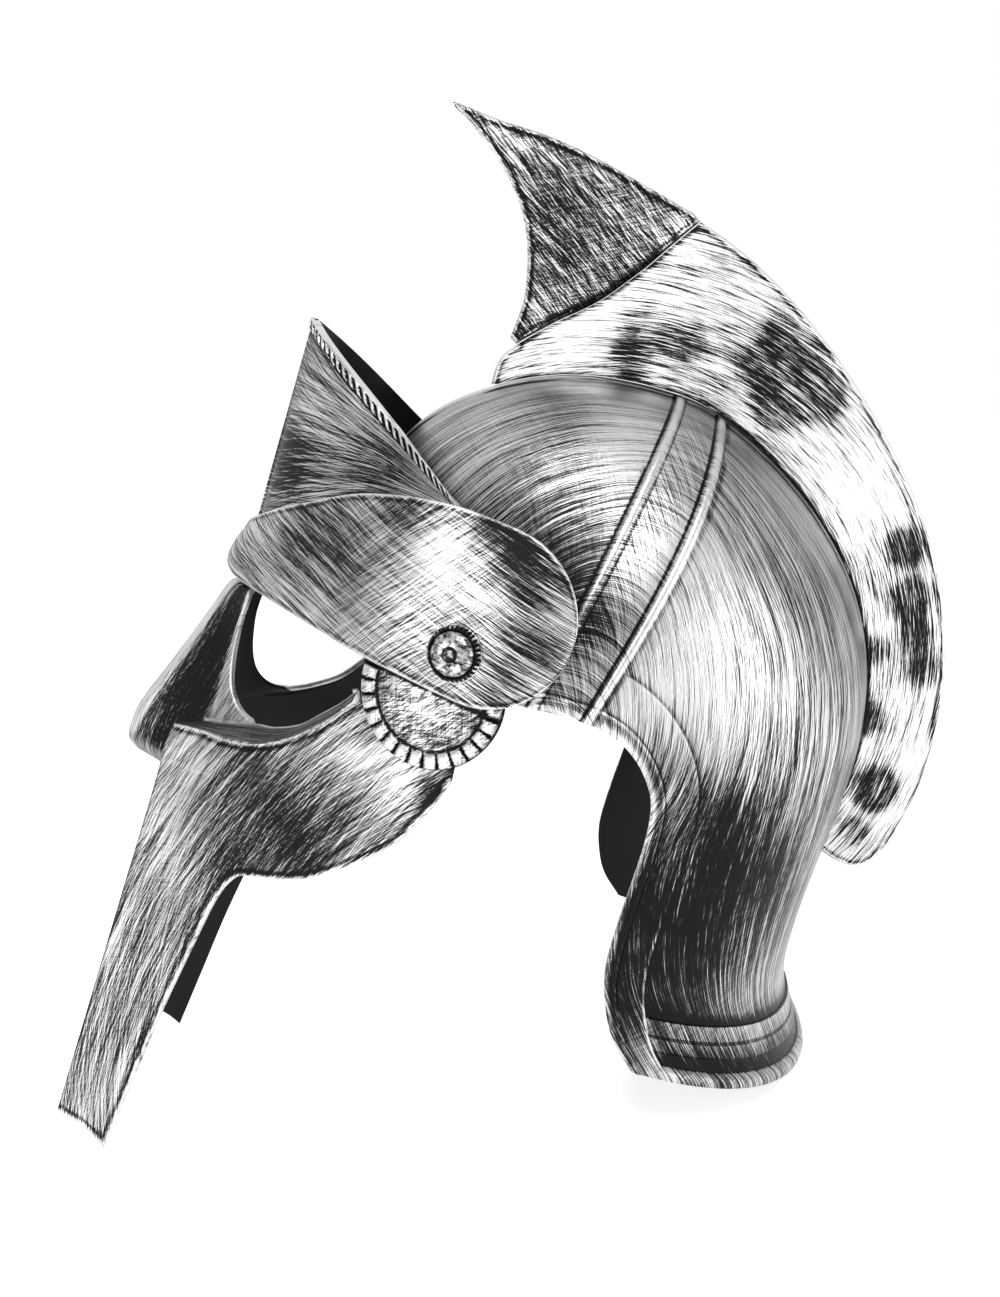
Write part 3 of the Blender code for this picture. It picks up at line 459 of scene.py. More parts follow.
BAND_PATCHES = (
    # back, up, reach, tone
    (-0.069, 0.020, 0.011, -0.25),
    (-0.052, 0.014, 0.012, -0.20),
    (-0.074, 0.007, 0.009, -0.20),
    (-0.034, 0.040, 0.010, -0.28),
    (0.008, 0.043, 0.009, -0.55),
    (-0.004, 0.047, 0.007, -0.40),
    (0.018, 0.028, 0.008, -0.30),
    (0.027, 0.012, 0.009, -0.35),
    (0.018, 0.000, 0.008, -0.20),
    (-0.018, 0.031, 0.014, 0.25),
    (-0.024, 0.002, 0.014, 0.10),
    (0.033, 0.024, 0.007, 0.25),
    (-0.090, 0.005, 0.012, 0.15),
)
PEAK_PATCHES = (
    # back, up, reach, tone
    (-0.094, 0.040, 0.012, -0.15),
    (-0.088, 0.030, 0.010, -0.20),
    (-0.050, 0.044, 0.012, -0.20),
    (-0.078, 0.060, 0.014, 0.12),
    (-0.096, 0.076, 0.012, 0.05),
)
CHEEK_PATCHES = (
    # back, up, reach, tone
    (-0.054, -0.085, 0.018, -0.22),
    (-0.039, -0.094, 0.016, -0.26),
    (-0.031, -0.106, 0.012, -0.25),
    (-0.055, -0.122, 0.016, -0.28),
    (0.008, -0.055, 0.006, -0.60),
    (-0.006, -0.054, 0.011, 0.30),
    (-0.096, -0.086, 0.014, 0.22),
    (-0.028, -0.053, 0.009, 0.18),
    (-0.098, -0.122, 0.013, 0.12),
    (-0.085, -0.200, 0.020, -0.10),
)

# Fine meshes: the steps between points, and the lines of points just inside an edge.
SKULL_STEP_ROWS = 0.078
CREST_STEP = 0.0021
CREST_INSETS = (0.0009, 0.0019, 0.0026)
MASK_STEP = 0.0024
MASK_INSETS = (0.0009, 0.0019)
LINE_STEPS = 12
MERGE_DISTANCE = 2e-5
SHARP_DEGREES = 38

# The peak's trim: its blocks, the levels their gaps reach, and each level's turn. Then the rivets' teeth.
TRIM_BLOCKS = 25
TRIM_NOTCHED_LEVELS = 7
TRIM_SLANT = 0.09
RIVET_TEETH = 36


def smooth_rows(table, at):
    """The table's columns at row positions such as 2.5, on a curve through every row."""
    rows = np.asarray(table, float)
    at = np.clip(np.atleast_1d(np.asarray(at, float)), 0, len(rows) - 1)
    start = np.minimum(at.astype(int), len(rows) - 2)
    padded = np.vstack([2 * rows[0] - rows[1], rows, 2 * rows[-1] - rows[-2]])
    a, b, c, d = (padded[start + step] for step in range(4))
    t = (at - start).reshape(*start.shape, 1)
    return b + 0.5 * t * (c - a + t * (2 * a - 5 * b + 4 * c - d + t * (3 * (b - c) + d - a)))


def smooth_line(table, steps):
    """A polyline through the table's rows with this many steps between two rows."""
    count = (len(table) - 1) * steps
    return smooth_rows(table, np.linspace(0, len(table) - 1, count + 1))


def looked_up(table, column, value):
    """One column of a smooth table as a function of its first column."""
    line = smooth_line(table, LINE_STEPS)
    return np.interp(value, line[:, 0], line[:, column])


def stacked(*parts):
    """Numbers and arrays side by side, as the columns of one array."""
    return np.stack(np.broadcast_arrays(*parts), axis=-1)


def signed(share, behind, ahead):
    """A share of one size where it is positive and of another where it is negative."""
    return np.where(share >= 0, share * behind, share * ahead)


def bump(value, middle, half):
    """A soft hill, 1 at its middle and 0 beyond its half-width."""
    t = np.clip(1 - ((np.asarray(value) - middle) / half) ** 2, 0, 1)
    return t * t


def round_top(value, half):
    """A half-round profile of height 1."""
    return np.sqrt(np.clip(1 - (np.asarray(value) / half) ** 2, 0, 1))


def patched(patches, back, up, power=1.0):
    """The sum of round patches at places in the side view, with firmer edges where power is higher."""
    total = np.zeros(np.shape(back))
    for at_back, at_up, reach, tone in patches:
        away = ((back - at_back) ** 2 + (up - at_up) ** 2) / reach**2
        total = total + tone * np.exp(-(away**power))
    return total


def lengths(points):
    """Distance run along a polyline, point by point."""
    return np.concatenate([[0], np.cumsum(np.linalg.norm(np.diff(points, axis=0), axis=1))])


def level_to_world(frame):
    """The move from the level helmet to the one at rest, found from the hinge's place."""
    hinge = Vector(frame["joints"][0]["pos_m"])
    turn = Matrix.Rotation(math.radians(-REST_TILT), 4, "X")
    return Matrix.Translation(hinge) @ turn @ Matrix.Translation((0, -PIVOT_BACK, -PIVOT_UP))


def in_scene(name, data):
    """A new object of this data, in the scene."""
    made = bpy.data.objects.new(name, data)
    bpy.context.scene.collection.objects.link(made)
    return made


def mesh_object(name, points, faces, surfaces, centre=None, stroke=None, paint=None, inner_from=None):
    """A mesh in its place at rest, with how its paint was brushed on.

    stroke is the place along and across the strokes in metres, and how calm they are. paint is the tone added
    to the silver (the paint's own, and painted highlights and shade), the distance to a worn edge, and how
    far the strokes are crossed.
    Faces from inner_from on are inner ones, in the second material. Where centre is given, the
    faces look away from it.
    """
    mesh = bpy.data.meshes.new(name)
    mesh.from_pydata([tuple(map(float, point)) for point in points], [], faces)
    if inner_from is not None:
        places = np.zeros(len(faces), np.int32)
        places[inner_from:] = 1
        mesh.polygons.foreach_set("material_index", places)
    count = len(mesh.vertices)
    stroke = np.zeros((count, 3)) if stroke is None else stroke
    paint = np.tile((0.0, FAR, 0.2), (count, 1)) if paint is None else paint
    for word, values in (("stroke", stroke), ("paint", paint)):
        layer = mesh.attributes.new(word, "FLOAT_VECTOR", "POINT")
        layer.data.foreach_set("vector", np.asarray(values, float).ravel())
    work = bmesh.new()
    work.from_mesh(mesh)
    bmesh.ops.remove_doubles(work, verts=work.verts, dist=MERGE_DISTANCE)
    bmesh.ops.recalc_face_normals(work, faces=work.faces)
    if centre is not None:
        middle = Vector(centre)
        outward = sum(
            face.calc_area() * face.normal.dot(face.calc_center_median() - middle) for face in work.faces
        )
        if outward < 0:
            bmesh.ops.reverse_faces(work, faces=work.faces)
    work.to_mesh(mesh)
    work.free()
    mesh.transform(TO_WORLD)
    mesh.shade_smooth()
    mesh.set_sharp_from_angle(angle=math.radians(SHARP_DEGREES))
    made = in_scene(name, mesh)
    for surface in surfaces:
        mesh.materials.append(surface)
    return made


def thicken(piece, wall):
    """Gives a sheet its wall on its inner side, in the second material."""
    modifier = piece.modifiers.new("wall", "SOLIDIFY")
    modifier.thickness = wall
    modifier.offset = -1.0
    modifier.material_offset = 1


def closed_sheet(outer, inner, stroke, paint):
    """One closed wall from its outer and inner grids, and the number of its first inner face."""
    rows, columns = outer.shape[:2]
    count = rows * columns
    grid = grid_faces(rows, columns)
    rim = [row * columns for row in range(rows)]
    rim += [(rows - 1) * columns + col for col in range(1, columns)]
    rim += [row * columns + columns - 1 for row in range(rows - 2, -1, -1)]
    rim += [col for col in range(columns - 2, 0, -1)]
    faces = grid + [(a, b, b + count, a + count) for a, b in zip(rim, rim[1:] + rim[:1])]
    start = len(faces)
    faces += shifted(grid, count, -1)
    points = np.vstack([outer.reshape(-1, 3), inner.reshape(-1, 3)])
    stroke, paint = (np.vstack([found.reshape(-1, 3)] * 2) for found in (stroke, paint))
    return points, faces, stroke, paint, start


def mirror(piece):
    modifier = piece.modifiers.new("other half", "MIRROR")
    modifier.use_axis = (True, False, False)
    modifier.merge_threshold = 0.0001


def cut(piece, cutter):
    modifier = piece.modifiers.new("cut", "BOOLEAN")
    modifier.operation = "DIFFERENCE"
    modifier.object = cutter


def grid_faces(rows, columns):
    """Faces between the points of a grid."""
    corners = (0, 1, columns + 1, columns)
    return [
        tuple(row * columns + col + corner for corner in corners)
        for row in range(rows - 1)
        for col in range(columns - 1)
    ]


def shifted(faces, by, way=1):
    """Faces with their point numbers raised, and turned round where way is -1."""
    return [tuple(corner + by for corner in face[::way]) for face in faces]


def ring_faces(first, second, sides):
    """Faces between two rings, given by the numbers of their first points."""
    return [
        (first + step, first + (step + 1) % sides, second + (step + 1) % sides, second + step)
        for step in range(sides)
    ]


def fan_faces(middle, first, sides):
    """Faces from a middle point to a ring."""
    return [(middle, first + step, first + (step + 1) % sides) for step in range(sides)]


def inside(outline, points):
    """Which points lie inside a closed outline."""
    found = np.zeros(len(points), bool)
    for (ax, ay), (bx, by) in zip(outline, np.roll(outline, -1, axis=0)):
        crosses = (ay > points[:, 1]) != (by > points[:, 1])
        rise = by - ay if by != ay else 1e-12
        found ^= crosses & (points[:, 0] < (bx - ax) * (points[:, 1] - ay) / rise + ax)
    return found


def distance_to_line(line, points):
    """Each point's distance from an open polyline."""
    nearest = np.full(len(points), np.inf)
    for start, end in zip(line[:-1], line[1:]):
        run = end - start
        share = np.clip((points - start) @ run / max(run @ run, 1e-12), 0, 1)
        nearest = np.minimum(nearest, np.linalg.norm(points - start - share[:, None] * run, axis=1))
    return nearest


def inset_points(outline, closed, insets):
    """Points beside a closed outline at the given distances inside it."""
    found = []
    ahead, behind = np.roll(outline, -1, axis=0), np.roll(outline, 1, axis=0)
    run = ahead - behind
    over = stacked(-run[:, 1], run[:, 0]) / np.maximum(np.linalg.norm(run, axis=1, keepdims=True), 1e-9)
    for inset in insets:
        for way in (-1, 1):
            points = outline + over * way * inset
            keep = inside(outline, points) & (distance_to_line(closed, points) > inset * 0.97)
            found.append(points[keep])
    return np.vstack(found) if found else np.empty((0, 2))


def filled(outline, spacing, lines=(), insets=()):
    """Points and triangles that fill a closed outline, through the lines given inside it.

    The outline's own points come first.
    """
    low, high = outline.min(axis=0), outline.max(axis=0)
    across = np.arange(low[0] + spacing / 2, high[0], spacing)
    up = np.arange(low[1] + spacing / 2, high[1], spacing * 0.87)
    lattice = np.array([(x + spacing / 2 * (row % 2), y) for row, y in enumerate(up) for x in across])
    closed = np.vstack([outline, outline[:1]])
    deepest = max(insets, default=0.0)
    clear = inside(outline, lattice) & (distance_to_line(closed, lattice) > deepest + spacing * 0.55)
    count = len(outline)
    edges = [(i, (i + 1) % count) for i in range(count)]
    points = [outline]
    for line in lines:
        clear &= distance_to_line(line, lattice) > spacing * 0.45
        first = sum(len(found) for found in points)
        edges += [(first + i, first + i + 1) for i in range(len(line) - 1)]
        points.append(line)
    points = np.vstack([*points, inset_points(outline, closed, insets), lattice[clear]])
    made = delaunay_2d_cdt([tuple(map(float, point)) for point in points], edges, [], 1, 1e-7)
    return np.array([tuple(point) for point in made[0]]), [tuple(face) for face in made[2]]


def section_point(row, share):
    """A point of the skull's outer face: row runs from forehead to neck rim, share from middle to edge."""
    back, up, edge_back, edge_up, width = np.moveaxis(smooth_rows(SKULL_SECTIONS, row), -1, 0)
    back, edge_back = (signed(value, DOME_BACK, DOME_FRONT) for value in (back, edge_back))
    up, edge_up = (signed(value, DOME_TOP, NECK_DROP) for value in (up, edge_up))
    angle = np.abs(share) * math.pi / 2
    along = 1 - np.maximum(np.cos(angle), 0) ** SECTION_POWER
    out = np.sign(share) * width * SKULL_HALF_WIDTH * np.sin(angle) ** SECTION_POWER
    return stacked(out, back + (edge_back - back) * along, up + (edge_up - up) * along)


def skull_point(row, share):
    """The same point averaged over nearby rows, so that no kink shows in the dome."""
    row = np.asarray(row, float)
    reach = 0.7 * np.clip(np.minimum(row, 14.0 - row) / 0.9, 0, 1)
    return sum(weight * section_point(row + offset * reach, share) for offset, weight in ROW_WEIGHTS)


def skull_normal(row, share):
    step = 0.02
    along = skull_point(row + step, share) - skull_point(row - step, share)
    across = skull_point(row, np.minimum(share + step, 1)) - skull_point(row, share - step)
    normal = np.cross(across, along)
    return normal / np.maximum(np.linalg.norm(normal, axis=-1, keepdims=True), 1e-12)


# The neck border's profile by share, and the hem's by row: heights and tones.
# The low tones in the grooves are painted shade.
BORDER_PROFILE = (
    # share, height in shares of BORDER_HEIGHT, tone
    (0.870, 0.00, 0.00),
    (0.886, -0.25, -0.10),
    (0.8925, -0.45, -0.32),
    (0.8945, -0.30, -0.25),
    (0.8965, 1.00, 0.14),
    (0.905, 1.00, 0.02),
    (0.964, 1.00, -0.05),
    (0.9685, 0.80, -0.15),
    (0.9715, 0.65, -0.40),
    (0.9745, 1.20, 0.05),
    (0.981, 1.65, -0.25),
    (0.988, 1.80, -0.12),
    (0.995, 1.55, 0.22),
    (1.000, 0.90, 0.20),
)
EDGE_PROFILE = (
    # share, height in shares of BORDER_HEIGHT, tone
    (0.966, 0.00, 0.00),
    (0.9715, -0.20, -0.30),
    (0.9745, 0.30, 0.10),
    (0.985, 0.75, -0.12),
    (1.000, 0.30, 0.22),
)
HEM_PROFILE = (
    # row, height in shares of BORDER_HEIGHT, tone
    (14.20, 0.00, 0.00),
    (14.60, -0.20, -0.15),
    (14.90, -0.50, -0.60),
    (14.975, -0.50, -0.75),
    (15.02, 0.95, 0.04),
    (15.30, 1.05, -0.04),
    (15.50, 1.00, -0.08),
    (15.54, 0.60, -0.30),
    (15.60, 0.60, -0.30),
    (15.64, 1.00, -0.10),
    (16.02, 0.95, -0.30),
    (16.10, 0.25, -0.50),
    (16.48, 0.25, -0.70),
    (16.54, 0.80, -0.05),
    (16.62, 1.50, 0.00),
    (16.75, 1.90, 0.00),
    (16.90, 1.60, -0.02),
    (17.00, 0.80, -0.05),
)


def profile(table, value, column):
    """One column of a table of straight steps as a function of its first column."""
    rows = np.array(table)
    return np.interp(value, rows[:, 0], rows[:, column])


def skull_relief(row, share, from_rib, out):
    """Height and tone of the skull's reliefs: ridge, ribs, neck border, hem and rolled edge.

    The tone holds painted shade in the grooves, and painted highlights and shade along the ridge and the
    ribs.
    """
    side = np.abs(share)
    behind = row > REAR_RIB_ROW + 0.3
    edge, edge_tone = (
        np.where(behind, profile(BORDER_PROFILE, side, column), profile(EDGE_PROFILE, side, column))
        for column in (1, 2)
    )
    edge = edge * BORDER_HEIGHT
    hem = profile(HEM_PROFILE, row, 1) * BORDER_HEIGHT
    hem_tone = profile(HEM_PROFILE, row, 2)
    lift = np.where(np.maximum(edge, hem) > 0, np.maximum(edge, hem), np.minimum(edge, hem))
    tone = np.where(hem > edge, hem_tone, np.where(np.abs(edge_tone) > 0, edge_tone, hem_tone))
    tone = np.where(row < HEM_PROFILE[0][0], edge_tone, tone)
    half = RIB_HALF_WIDTH
    dip = bump(from_rib, -half * 1.3, half * 0.4)
    rib = RIB_HEIGHT * 1.1 * round_top(from_rib, half) - RIB_HEIGHT * 0.45 * dip
    lift = np.where(rib > 0, np.maximum(lift, rib), lift + rib)
    # Painted highlight on the rib's top, and painted shade in the hollow before it and just behind it.
    tone = tone + 0.45 * bump(from_rib, 0.0, half * 0.9) - 0.9 * dip
    tone = tone - 0.35 * bump(from_rib, half * 1.15, half * 0.25)
    ending = np.clip((RIDGE_END_ROW + 0.1 - row) / 0.1, 0, 1)
    strip = np.abs(out)
    flat_top = RIDGE_FLAT_HALF_WIDTH
    ridge = RIDGE_HEIGHT * np.where(strip < flat_top, 1.0, round_top(strip - flat_top, RIDGE_SLOPE)) * ending
    lift = np.maximum(lift, ridge)
    # Painted highlight along the ridge's edge, and a line of painted shade just outside it.
    tone = tone + ending * (0.35 * bump(strip, 0.0076, 0.0018) - 0.9 * bump(strip, 0.0103, 0.0006))
    return lift, tone


def make_skull(surfaces):
    """Dome and neck guard, on a grid with extra rows and columns where a relief is."""
    last = len(SKULL_SECTIONS) - 1
    step = SKULL_STEP_ROWS
    plain = [*np.arange(0, FRONT_RIB_ROW - 0.16, step), 5.25, 5.4, 5.55, 5.7]
    plain += [*np.arange(REAR_RIB_ROW + 0.12, 13, step), *np.arange(13.05, 14.5, 0.12)]
    plain += [row[0] for row in HEM_PROFILE] + [15.15, 15.4, 15.77, 15.9, 16.25, 16.38, 16.68, 16.83, last]
    entries = [(float(row), 0.0) for row in sorted(set(np.clip(plain, 0, last)))]
    for row in (FRONT_RIB_ROW, REAR_RIB_ROW):
        for share in (-2.0, -1.7, -1.5, -1.3, -1.1, -0.97, -0.8, -0.5, 0, 0.5, 0.8, 0.97, 1.15, 1.4):
            entries.append((float(row), share * RIB_HALF_WIDTH))
    entries.sort(key=lambda entry: entry[0] + entry[1] * 20)
    side = [0.012, 0.024, 0.034, 0.040, 0.0435, 0.047, 0.0505, 0.0535, 0.056, 0.0585, 0.062, 0.07]
    side += [*np.arange(0.083, 0.865, 0.0165)]
    side += [entry[0] for entry in BORDER_PROFILE] + [0.90, 0.92, 0.935, 0.95, 0.978, 0.9845, 0.992]
    side = sorted(set(side))
    shares = np.array([-share for share in reversed(side)] + [0.0] + side)
    columns = len(shares)
    grid, at_rows, shifts = [], [], []
    for row, shift in entries:
        at = np.full(columns, row)
        if shift:
            speed = skull_point(at + 0.05, shares) - skull_point(at - 0.05, shares)
            at = at + shift / (np.linalg.norm(speed, axis=1) / 0.1)
        nearest = np.where(at < 5.5, FRONT_RIB_ROW, REAR_RIB_ROW)
        shifts.append(np.full(columns, shift) if shift else (at - nearest) * 0.02)
        at = at + REAR_RIB_BOW * bump(np.abs(shares), 0.66, 0.56) * bump(at, REAR_RIB_ROW + 0.05, 1.2)
        at_rows.append(at)
        grid.append(skull_point(at, shares))
    grid, at_rows, shifts = np.array(grid), np.array(at_rows), np.array(shifts)
    all_shares = np.tile(shares, (len(grid), 1))
    lift, tone = skull_relief(at_rows, all_shares, shifts, grid[:, :, 0])
    normal = skull_normal(at_rows, all_shares)
    outer = grid + normal * lift[:, :, None]
    inner = grid - normal * SKULL_WALL
    middle = columns // 2
    down = lengths(grid[:, middle])
    apart = np.linalg.norm(np.diff(grid, axis=1), axis=2)
    side_run = np.cumsum(np.concatenate([np.zeros((len(grid), 1)), apart], axis=1), axis=1)
    side_run = side_run - side_run[:, middle:middle + 1]
    calm = np.clip(1.25 - np.abs(all_shares) / 0.36, 0, 1)
    sweep = smooth_rows([entry[1:] for entry in STROKE_SWEEP], at_rows.ravel())[:, 0].reshape(at_rows.shape)
    swept = side_run - np.sign(side_run) * sweep * np.clip(np.abs(side_run) / 0.12, 0, 1)
    stroke = stacked(down[:, None], swept, calm)
    # A painted highlight line along the neck border's inner edge, low on the neck guard.
    tone = tone + 0.4 * bump(np.abs(all_shares), 0.8985, 0.005) * np.clip((at_rows - 11.5) / 1.5, 0, 1)
    # Painted highlights and painted shade on the dome.
    tone = tone + patched(DOME_PAINTED_LIGHT_PATCHES, grid[:, :, 1], grid[:, :, 2])
    paint = stacked(tone, FAR, 0.15 + 0.5 * bump(at_rows, 5.5, 0.6))
    points, faces, stroke, paint, start = closed_sheet(outer, inner, stroke, paint)
    return mesh_object("skull_shell", points, faces, surfaces, None, stroke, paint, start)


def crest_line(table, steps):
    """Points of a crest edge, in back and up, from angles and heights over the dome."""
    line = smooth_line(table, steps)
    middle = skull_point(np.linspace(0, len(SKULL_SECTIONS) - 1, 400), np.zeros(400))[:, 1:]
    from_centre = middle - np.array([CREST_CENTRE_BACK, 0])
    angles = np.degrees(np.arctan2(from_centre[:, 1], from_centre[:, 0]))
    order = np.argsort(angles)
    dome = np.interp(line[:, 0], angles[order], np.linalg.norm(from_centre, axis=1)[order])
    radius = dome + RIDGE_HEIGHT + SEAT_GAP + line[:, 1] * CREST_HEIGHT
    turned_by = np.radians(line[:, 0])
    return stacked(CREST_CENTRE_BACK + radius * np.cos(turned_by), radius * np.sin(turned_by))


def crest_half_thickness(points):
    """The crest is a blade: thin along its outer and front edges, full over the dome."""
    thin = np.vstack([crest_line(table, 4) for table in (BLADE_FRONT, HORN_FRONT, HORN_OUTER, BLADE_OUTER)])
    depth = np.clip(distance_to_line(thin, points) / CREST_TAPER, 0, 1)
    full = CREST_HALF_THICKNESS - CREST_EDGE_HALF_THICKNESS
    return CREST_EDGE_HALF_THICKNESS + full * np.sin(depth * math.pi / 2)


def crest_strokes(points, turn):
    """Stroke places round the crest's centre, or along a slant where turn is given in degrees."""
    if turn is None:
        away = points - np.array([CREST_CENTRE_BACK, 0])
        return stacked(np.arctan2(away[:, 1], away[:, 0]) * 0.15, np.linalg.norm(away, axis=1), 0.0)
    run = np.array([math.cos(math.radians(turn)), math.sin(math.radians(turn))])
    over = np.array([-run[1], run[0]])
    return stacked(points @ run, points @ over, 0.0)


def make_blade(name, outline, surfaces, edges, shaded_lines, patches, turn=None, tongue=None, groove=None):
    """A closed blade from its side outline: thin worn edges, and painted shade where it meets a neighbour."""
    flat, triangles = filled(outline, CREST_STEP, () if groove is None else (groove,), CREST_INSETS)
    half = crest_half_thickness(flat)
    if tongue is not None:
        half = np.where(distance_to_line(tongue, flat) < CREST_SEAM * 0.5, half * TONGUE_SHARE, half)
    from_edge = np.min([distance_to_line(line, flat) for line in edges], axis=0)
    half = half * np.where(from_edge < MERGE_DISTANCE, 0.55, 1.0)
    rim = np.clip((CREST_INSETS[-1] - from_edge) / 0.0007, 0, 1) * (from_edge > MERGE_DISTANCE)
    half = half + CREST_RIM_HEIGHT * rim
    tone = np.maximum(patched(patches, flat[:, 0], flat[:, 1], 1.0 if turn else 2.2), -0.70)
    # Painted shade along the seam and the foot, where the blade meets the horn and the dome.
    for line in shaded_lines:
        tone = tone - 0.8 * bump(distance_to_line(line, flat), 0.0, 0.0024)
    paint = stacked(tone, np.minimum(from_edge, FAR), 0.08 if turn is None else 0.3)
    count = len(flat)
    points = np.vstack([np.column_stack([half, flat]), np.column_stack([-half, flat])])
    faces = triangles + shifted(triangles, count, -1) + ring_faces(0, count, len(outline))
    stroke, paint = (np.vstack([found] * 2) for found in (crest_strokes(flat, turn), paint))
    return mesh_object(name, points, faces, surfaces, None, stroke, paint)


def make_crest(surfaces):
    """Blade and horn, which meet at the seam with a groove beside it."""
    base_angles = np.linspace(BLADE_OUTER[-1][0], BLADE_FRONT[0][0], 130)
    base = crest_line([(angle, 0.0) for angle in base_angles], 1)
    front = crest_line(BLADE_FRONT, 5)
    seam = crest_line(CREST_SEAM_LINE, 10)
    outer = crest_line(BLADE_OUTER, 10)
    blade = np.vstack([front, seam[1:], outer[1:], base[1:-1]])
    away = np.array([-(seam[-1] - seam[0])[1], (seam[-1] - seam[0])[0]])
    away /= np.linalg.norm(away)
    horn_seam = seam + away * SEAT_GAP * 1.5
    groove = (seam + away * (SEAT_GAP * 1.5 + CREST_SEAM))[1:-1]
    horn_front = crest_line(HORN_FRONT, 8)
    horn_outer = crest_line(HORN_OUTER, 8)
    horn = np.vstack([horn_front[1:], horn_outer[1:-1], horn_seam[::-1]])
    horn_edges = (horn_front, horn_outer, horn_seam)
    return (
        make_blade("crest_blade_brushed", blade, surfaces[0], (front, outer), (seam, base), CREST_PATCHES),
        make_blade("crest_horn_brushed", horn, surfaces[1], horn_edges, (), HORN_PATCHES,
                   HORN_STROKE_DEGREES, horn_seam, groove),
    )


def band_plan(back):
    """The band's half-width at a distance back."""
    line = smooth_line(BAND_PLAN, LINE_STEPS)
    return np.interp(back, signed(line[:, 0], BAND_TAIL, BAND_REACH), line[:, 1] * BAND_HALF_WIDTH)


def band_plan_normal(back):
    """Which way the band faces, seen from above, as (out, back)."""
    step = BAND_REACH * 0.01
    slope = (band_plan(back + step) - band_plan(back - step)) / (2 * step)
    length = np.hypot(1, slope)
    return 1 / length, -slope / length


def band_top(back):
    """The height of the band's top edge at a distance back."""
    line = smooth_line(BAND_TOP_EDGE, LINE_STEPS)
    return np.interp(back, signed(line[:, 0], BAND_TAIL, BAND_REACH), line[:, 1] * BAND_TOP)


def band_columns(front_steps, end_steps):
    """How far back each column of the band is, with its lower and its upper end."""
    radius = (BAND_TOP + BAND_DROP) / 2
    end_centre = BAND_TAIL - radius
    line = smooth_line(BAND_PLAN, LINE_STEPS)
    line = stacked(signed(line[:, 0], BAND_TAIL, BAND_REACH), line[:, 1] * BAND_HALF_WIDTH)
    length = lengths(line)
    whole = np.interp(end_centre, line[:, 0], length)
    back = np.interp(np.linspace(0, whole, front_steps + 1), length, line[:, 0])
    columns = [(float(at), -BAND_DROP, float(band_top(at))) for at in back[:-1]]
    for turn in np.linspace(0, math.pi / 2, end_steps + 1):
        half = radius * max(math.cos(turn), 1e-6)
        middle = (BAND_TOP - BAND_DROP) / 2
        columns.append((end_centre + radius * math.sin(turn), middle - half, middle + half))
    return columns


def make_band(surfaces):
    across = np.array([0, 0.006, 0.018, 0.035, *np.linspace(0.06, 0.94, 26), 0.965, 0.982, 0.994, 1])
    columns = band_columns(84, 30)
    points, stroke, paint = [], [], []
    run, before = 0.0, None
    for number, (back, low, top) in enumerate(columns):
        out = float(band_plan(back)) if number else 0.0
        face_out, face_back = band_plan_normal(back) if number else (0.0, -1.0)
        share = out / BAND_HALF_WIDTH
        bulge = BAND_FRONT_BULGE * (1 - share) + BAND_SIDE_BULGE * share
        bulge *= min(1.0, (top - low) / (BAND_DROP + BAND_TOP * 0.1))
        if before is not None:
            run += math.hypot(out - before[0], back - before[1])
        before = (out, back)
        for part in across:
            lift = bulge * math.sin(math.pi * part**0.55)
            up = low + (top - low) * part
            points.append((out + face_out * lift, back + face_back * lift, up))
            stroke.append((run * 0.98 - up * 0.20, up * 0.98 + run * 0.20, 0.0))
            from_edge = min(part, 1 - part) * (top - low)
            tone = float(patched(BAND_PATCHES, back, up))
            crossed = float(bump(back, BAND_CROSSED_BACK, BAND_CROSSED_REACH))
            paint.append((tone, min(from_edge, FAR), 0.12 + 0.8 * crossed))
    faces = grid_faces(len(columns), len(across))
    band = mesh_object("brow_band_brushed", points, faces, surfaces, (0, 0, 0), stroke, paint)
    mirror(band)
    thicken(band, BAND_WALL)
    return band


def peak_base(share):
    """A point of the peak's foot, tucked behind the band's top edge."""
    back = -BAND_REACH + (PEAK_END_BACK + PEAK_TUCK * 0.8 + BAND_REACH) * share
    face_out, face_back = band_plan_normal(back)
    inset = BAND_WALL + SEAT_GAP + TINY_BEVEL
    out = np.where(share > 0, band_plan(back) - face_out * inset, 0.0)
    back_in = np.where(share > 0, back - face_back * inset, back + inset)
    return stacked(np.maximum(out, 0), back_in, band_top(back) - PEAK_TUCK)


def peak_edge(share):
    """A point of the peak's top edge, which is straight seen from the side."""
    spread = smooth_rows([(value,) for value in PEAK_SPREAD], share * (len(PEAK_SPREAD) - 1))[:, 0]
    back = -BAND_REACH + (PEAK_END_BACK + BAND_REACH) * share
    up = PEAK_TIP_UP + (PEAK_END_UP - PEAK_TIP_UP) * share
    return stacked(spread * PEAK_HALF_SPAN, back, up)


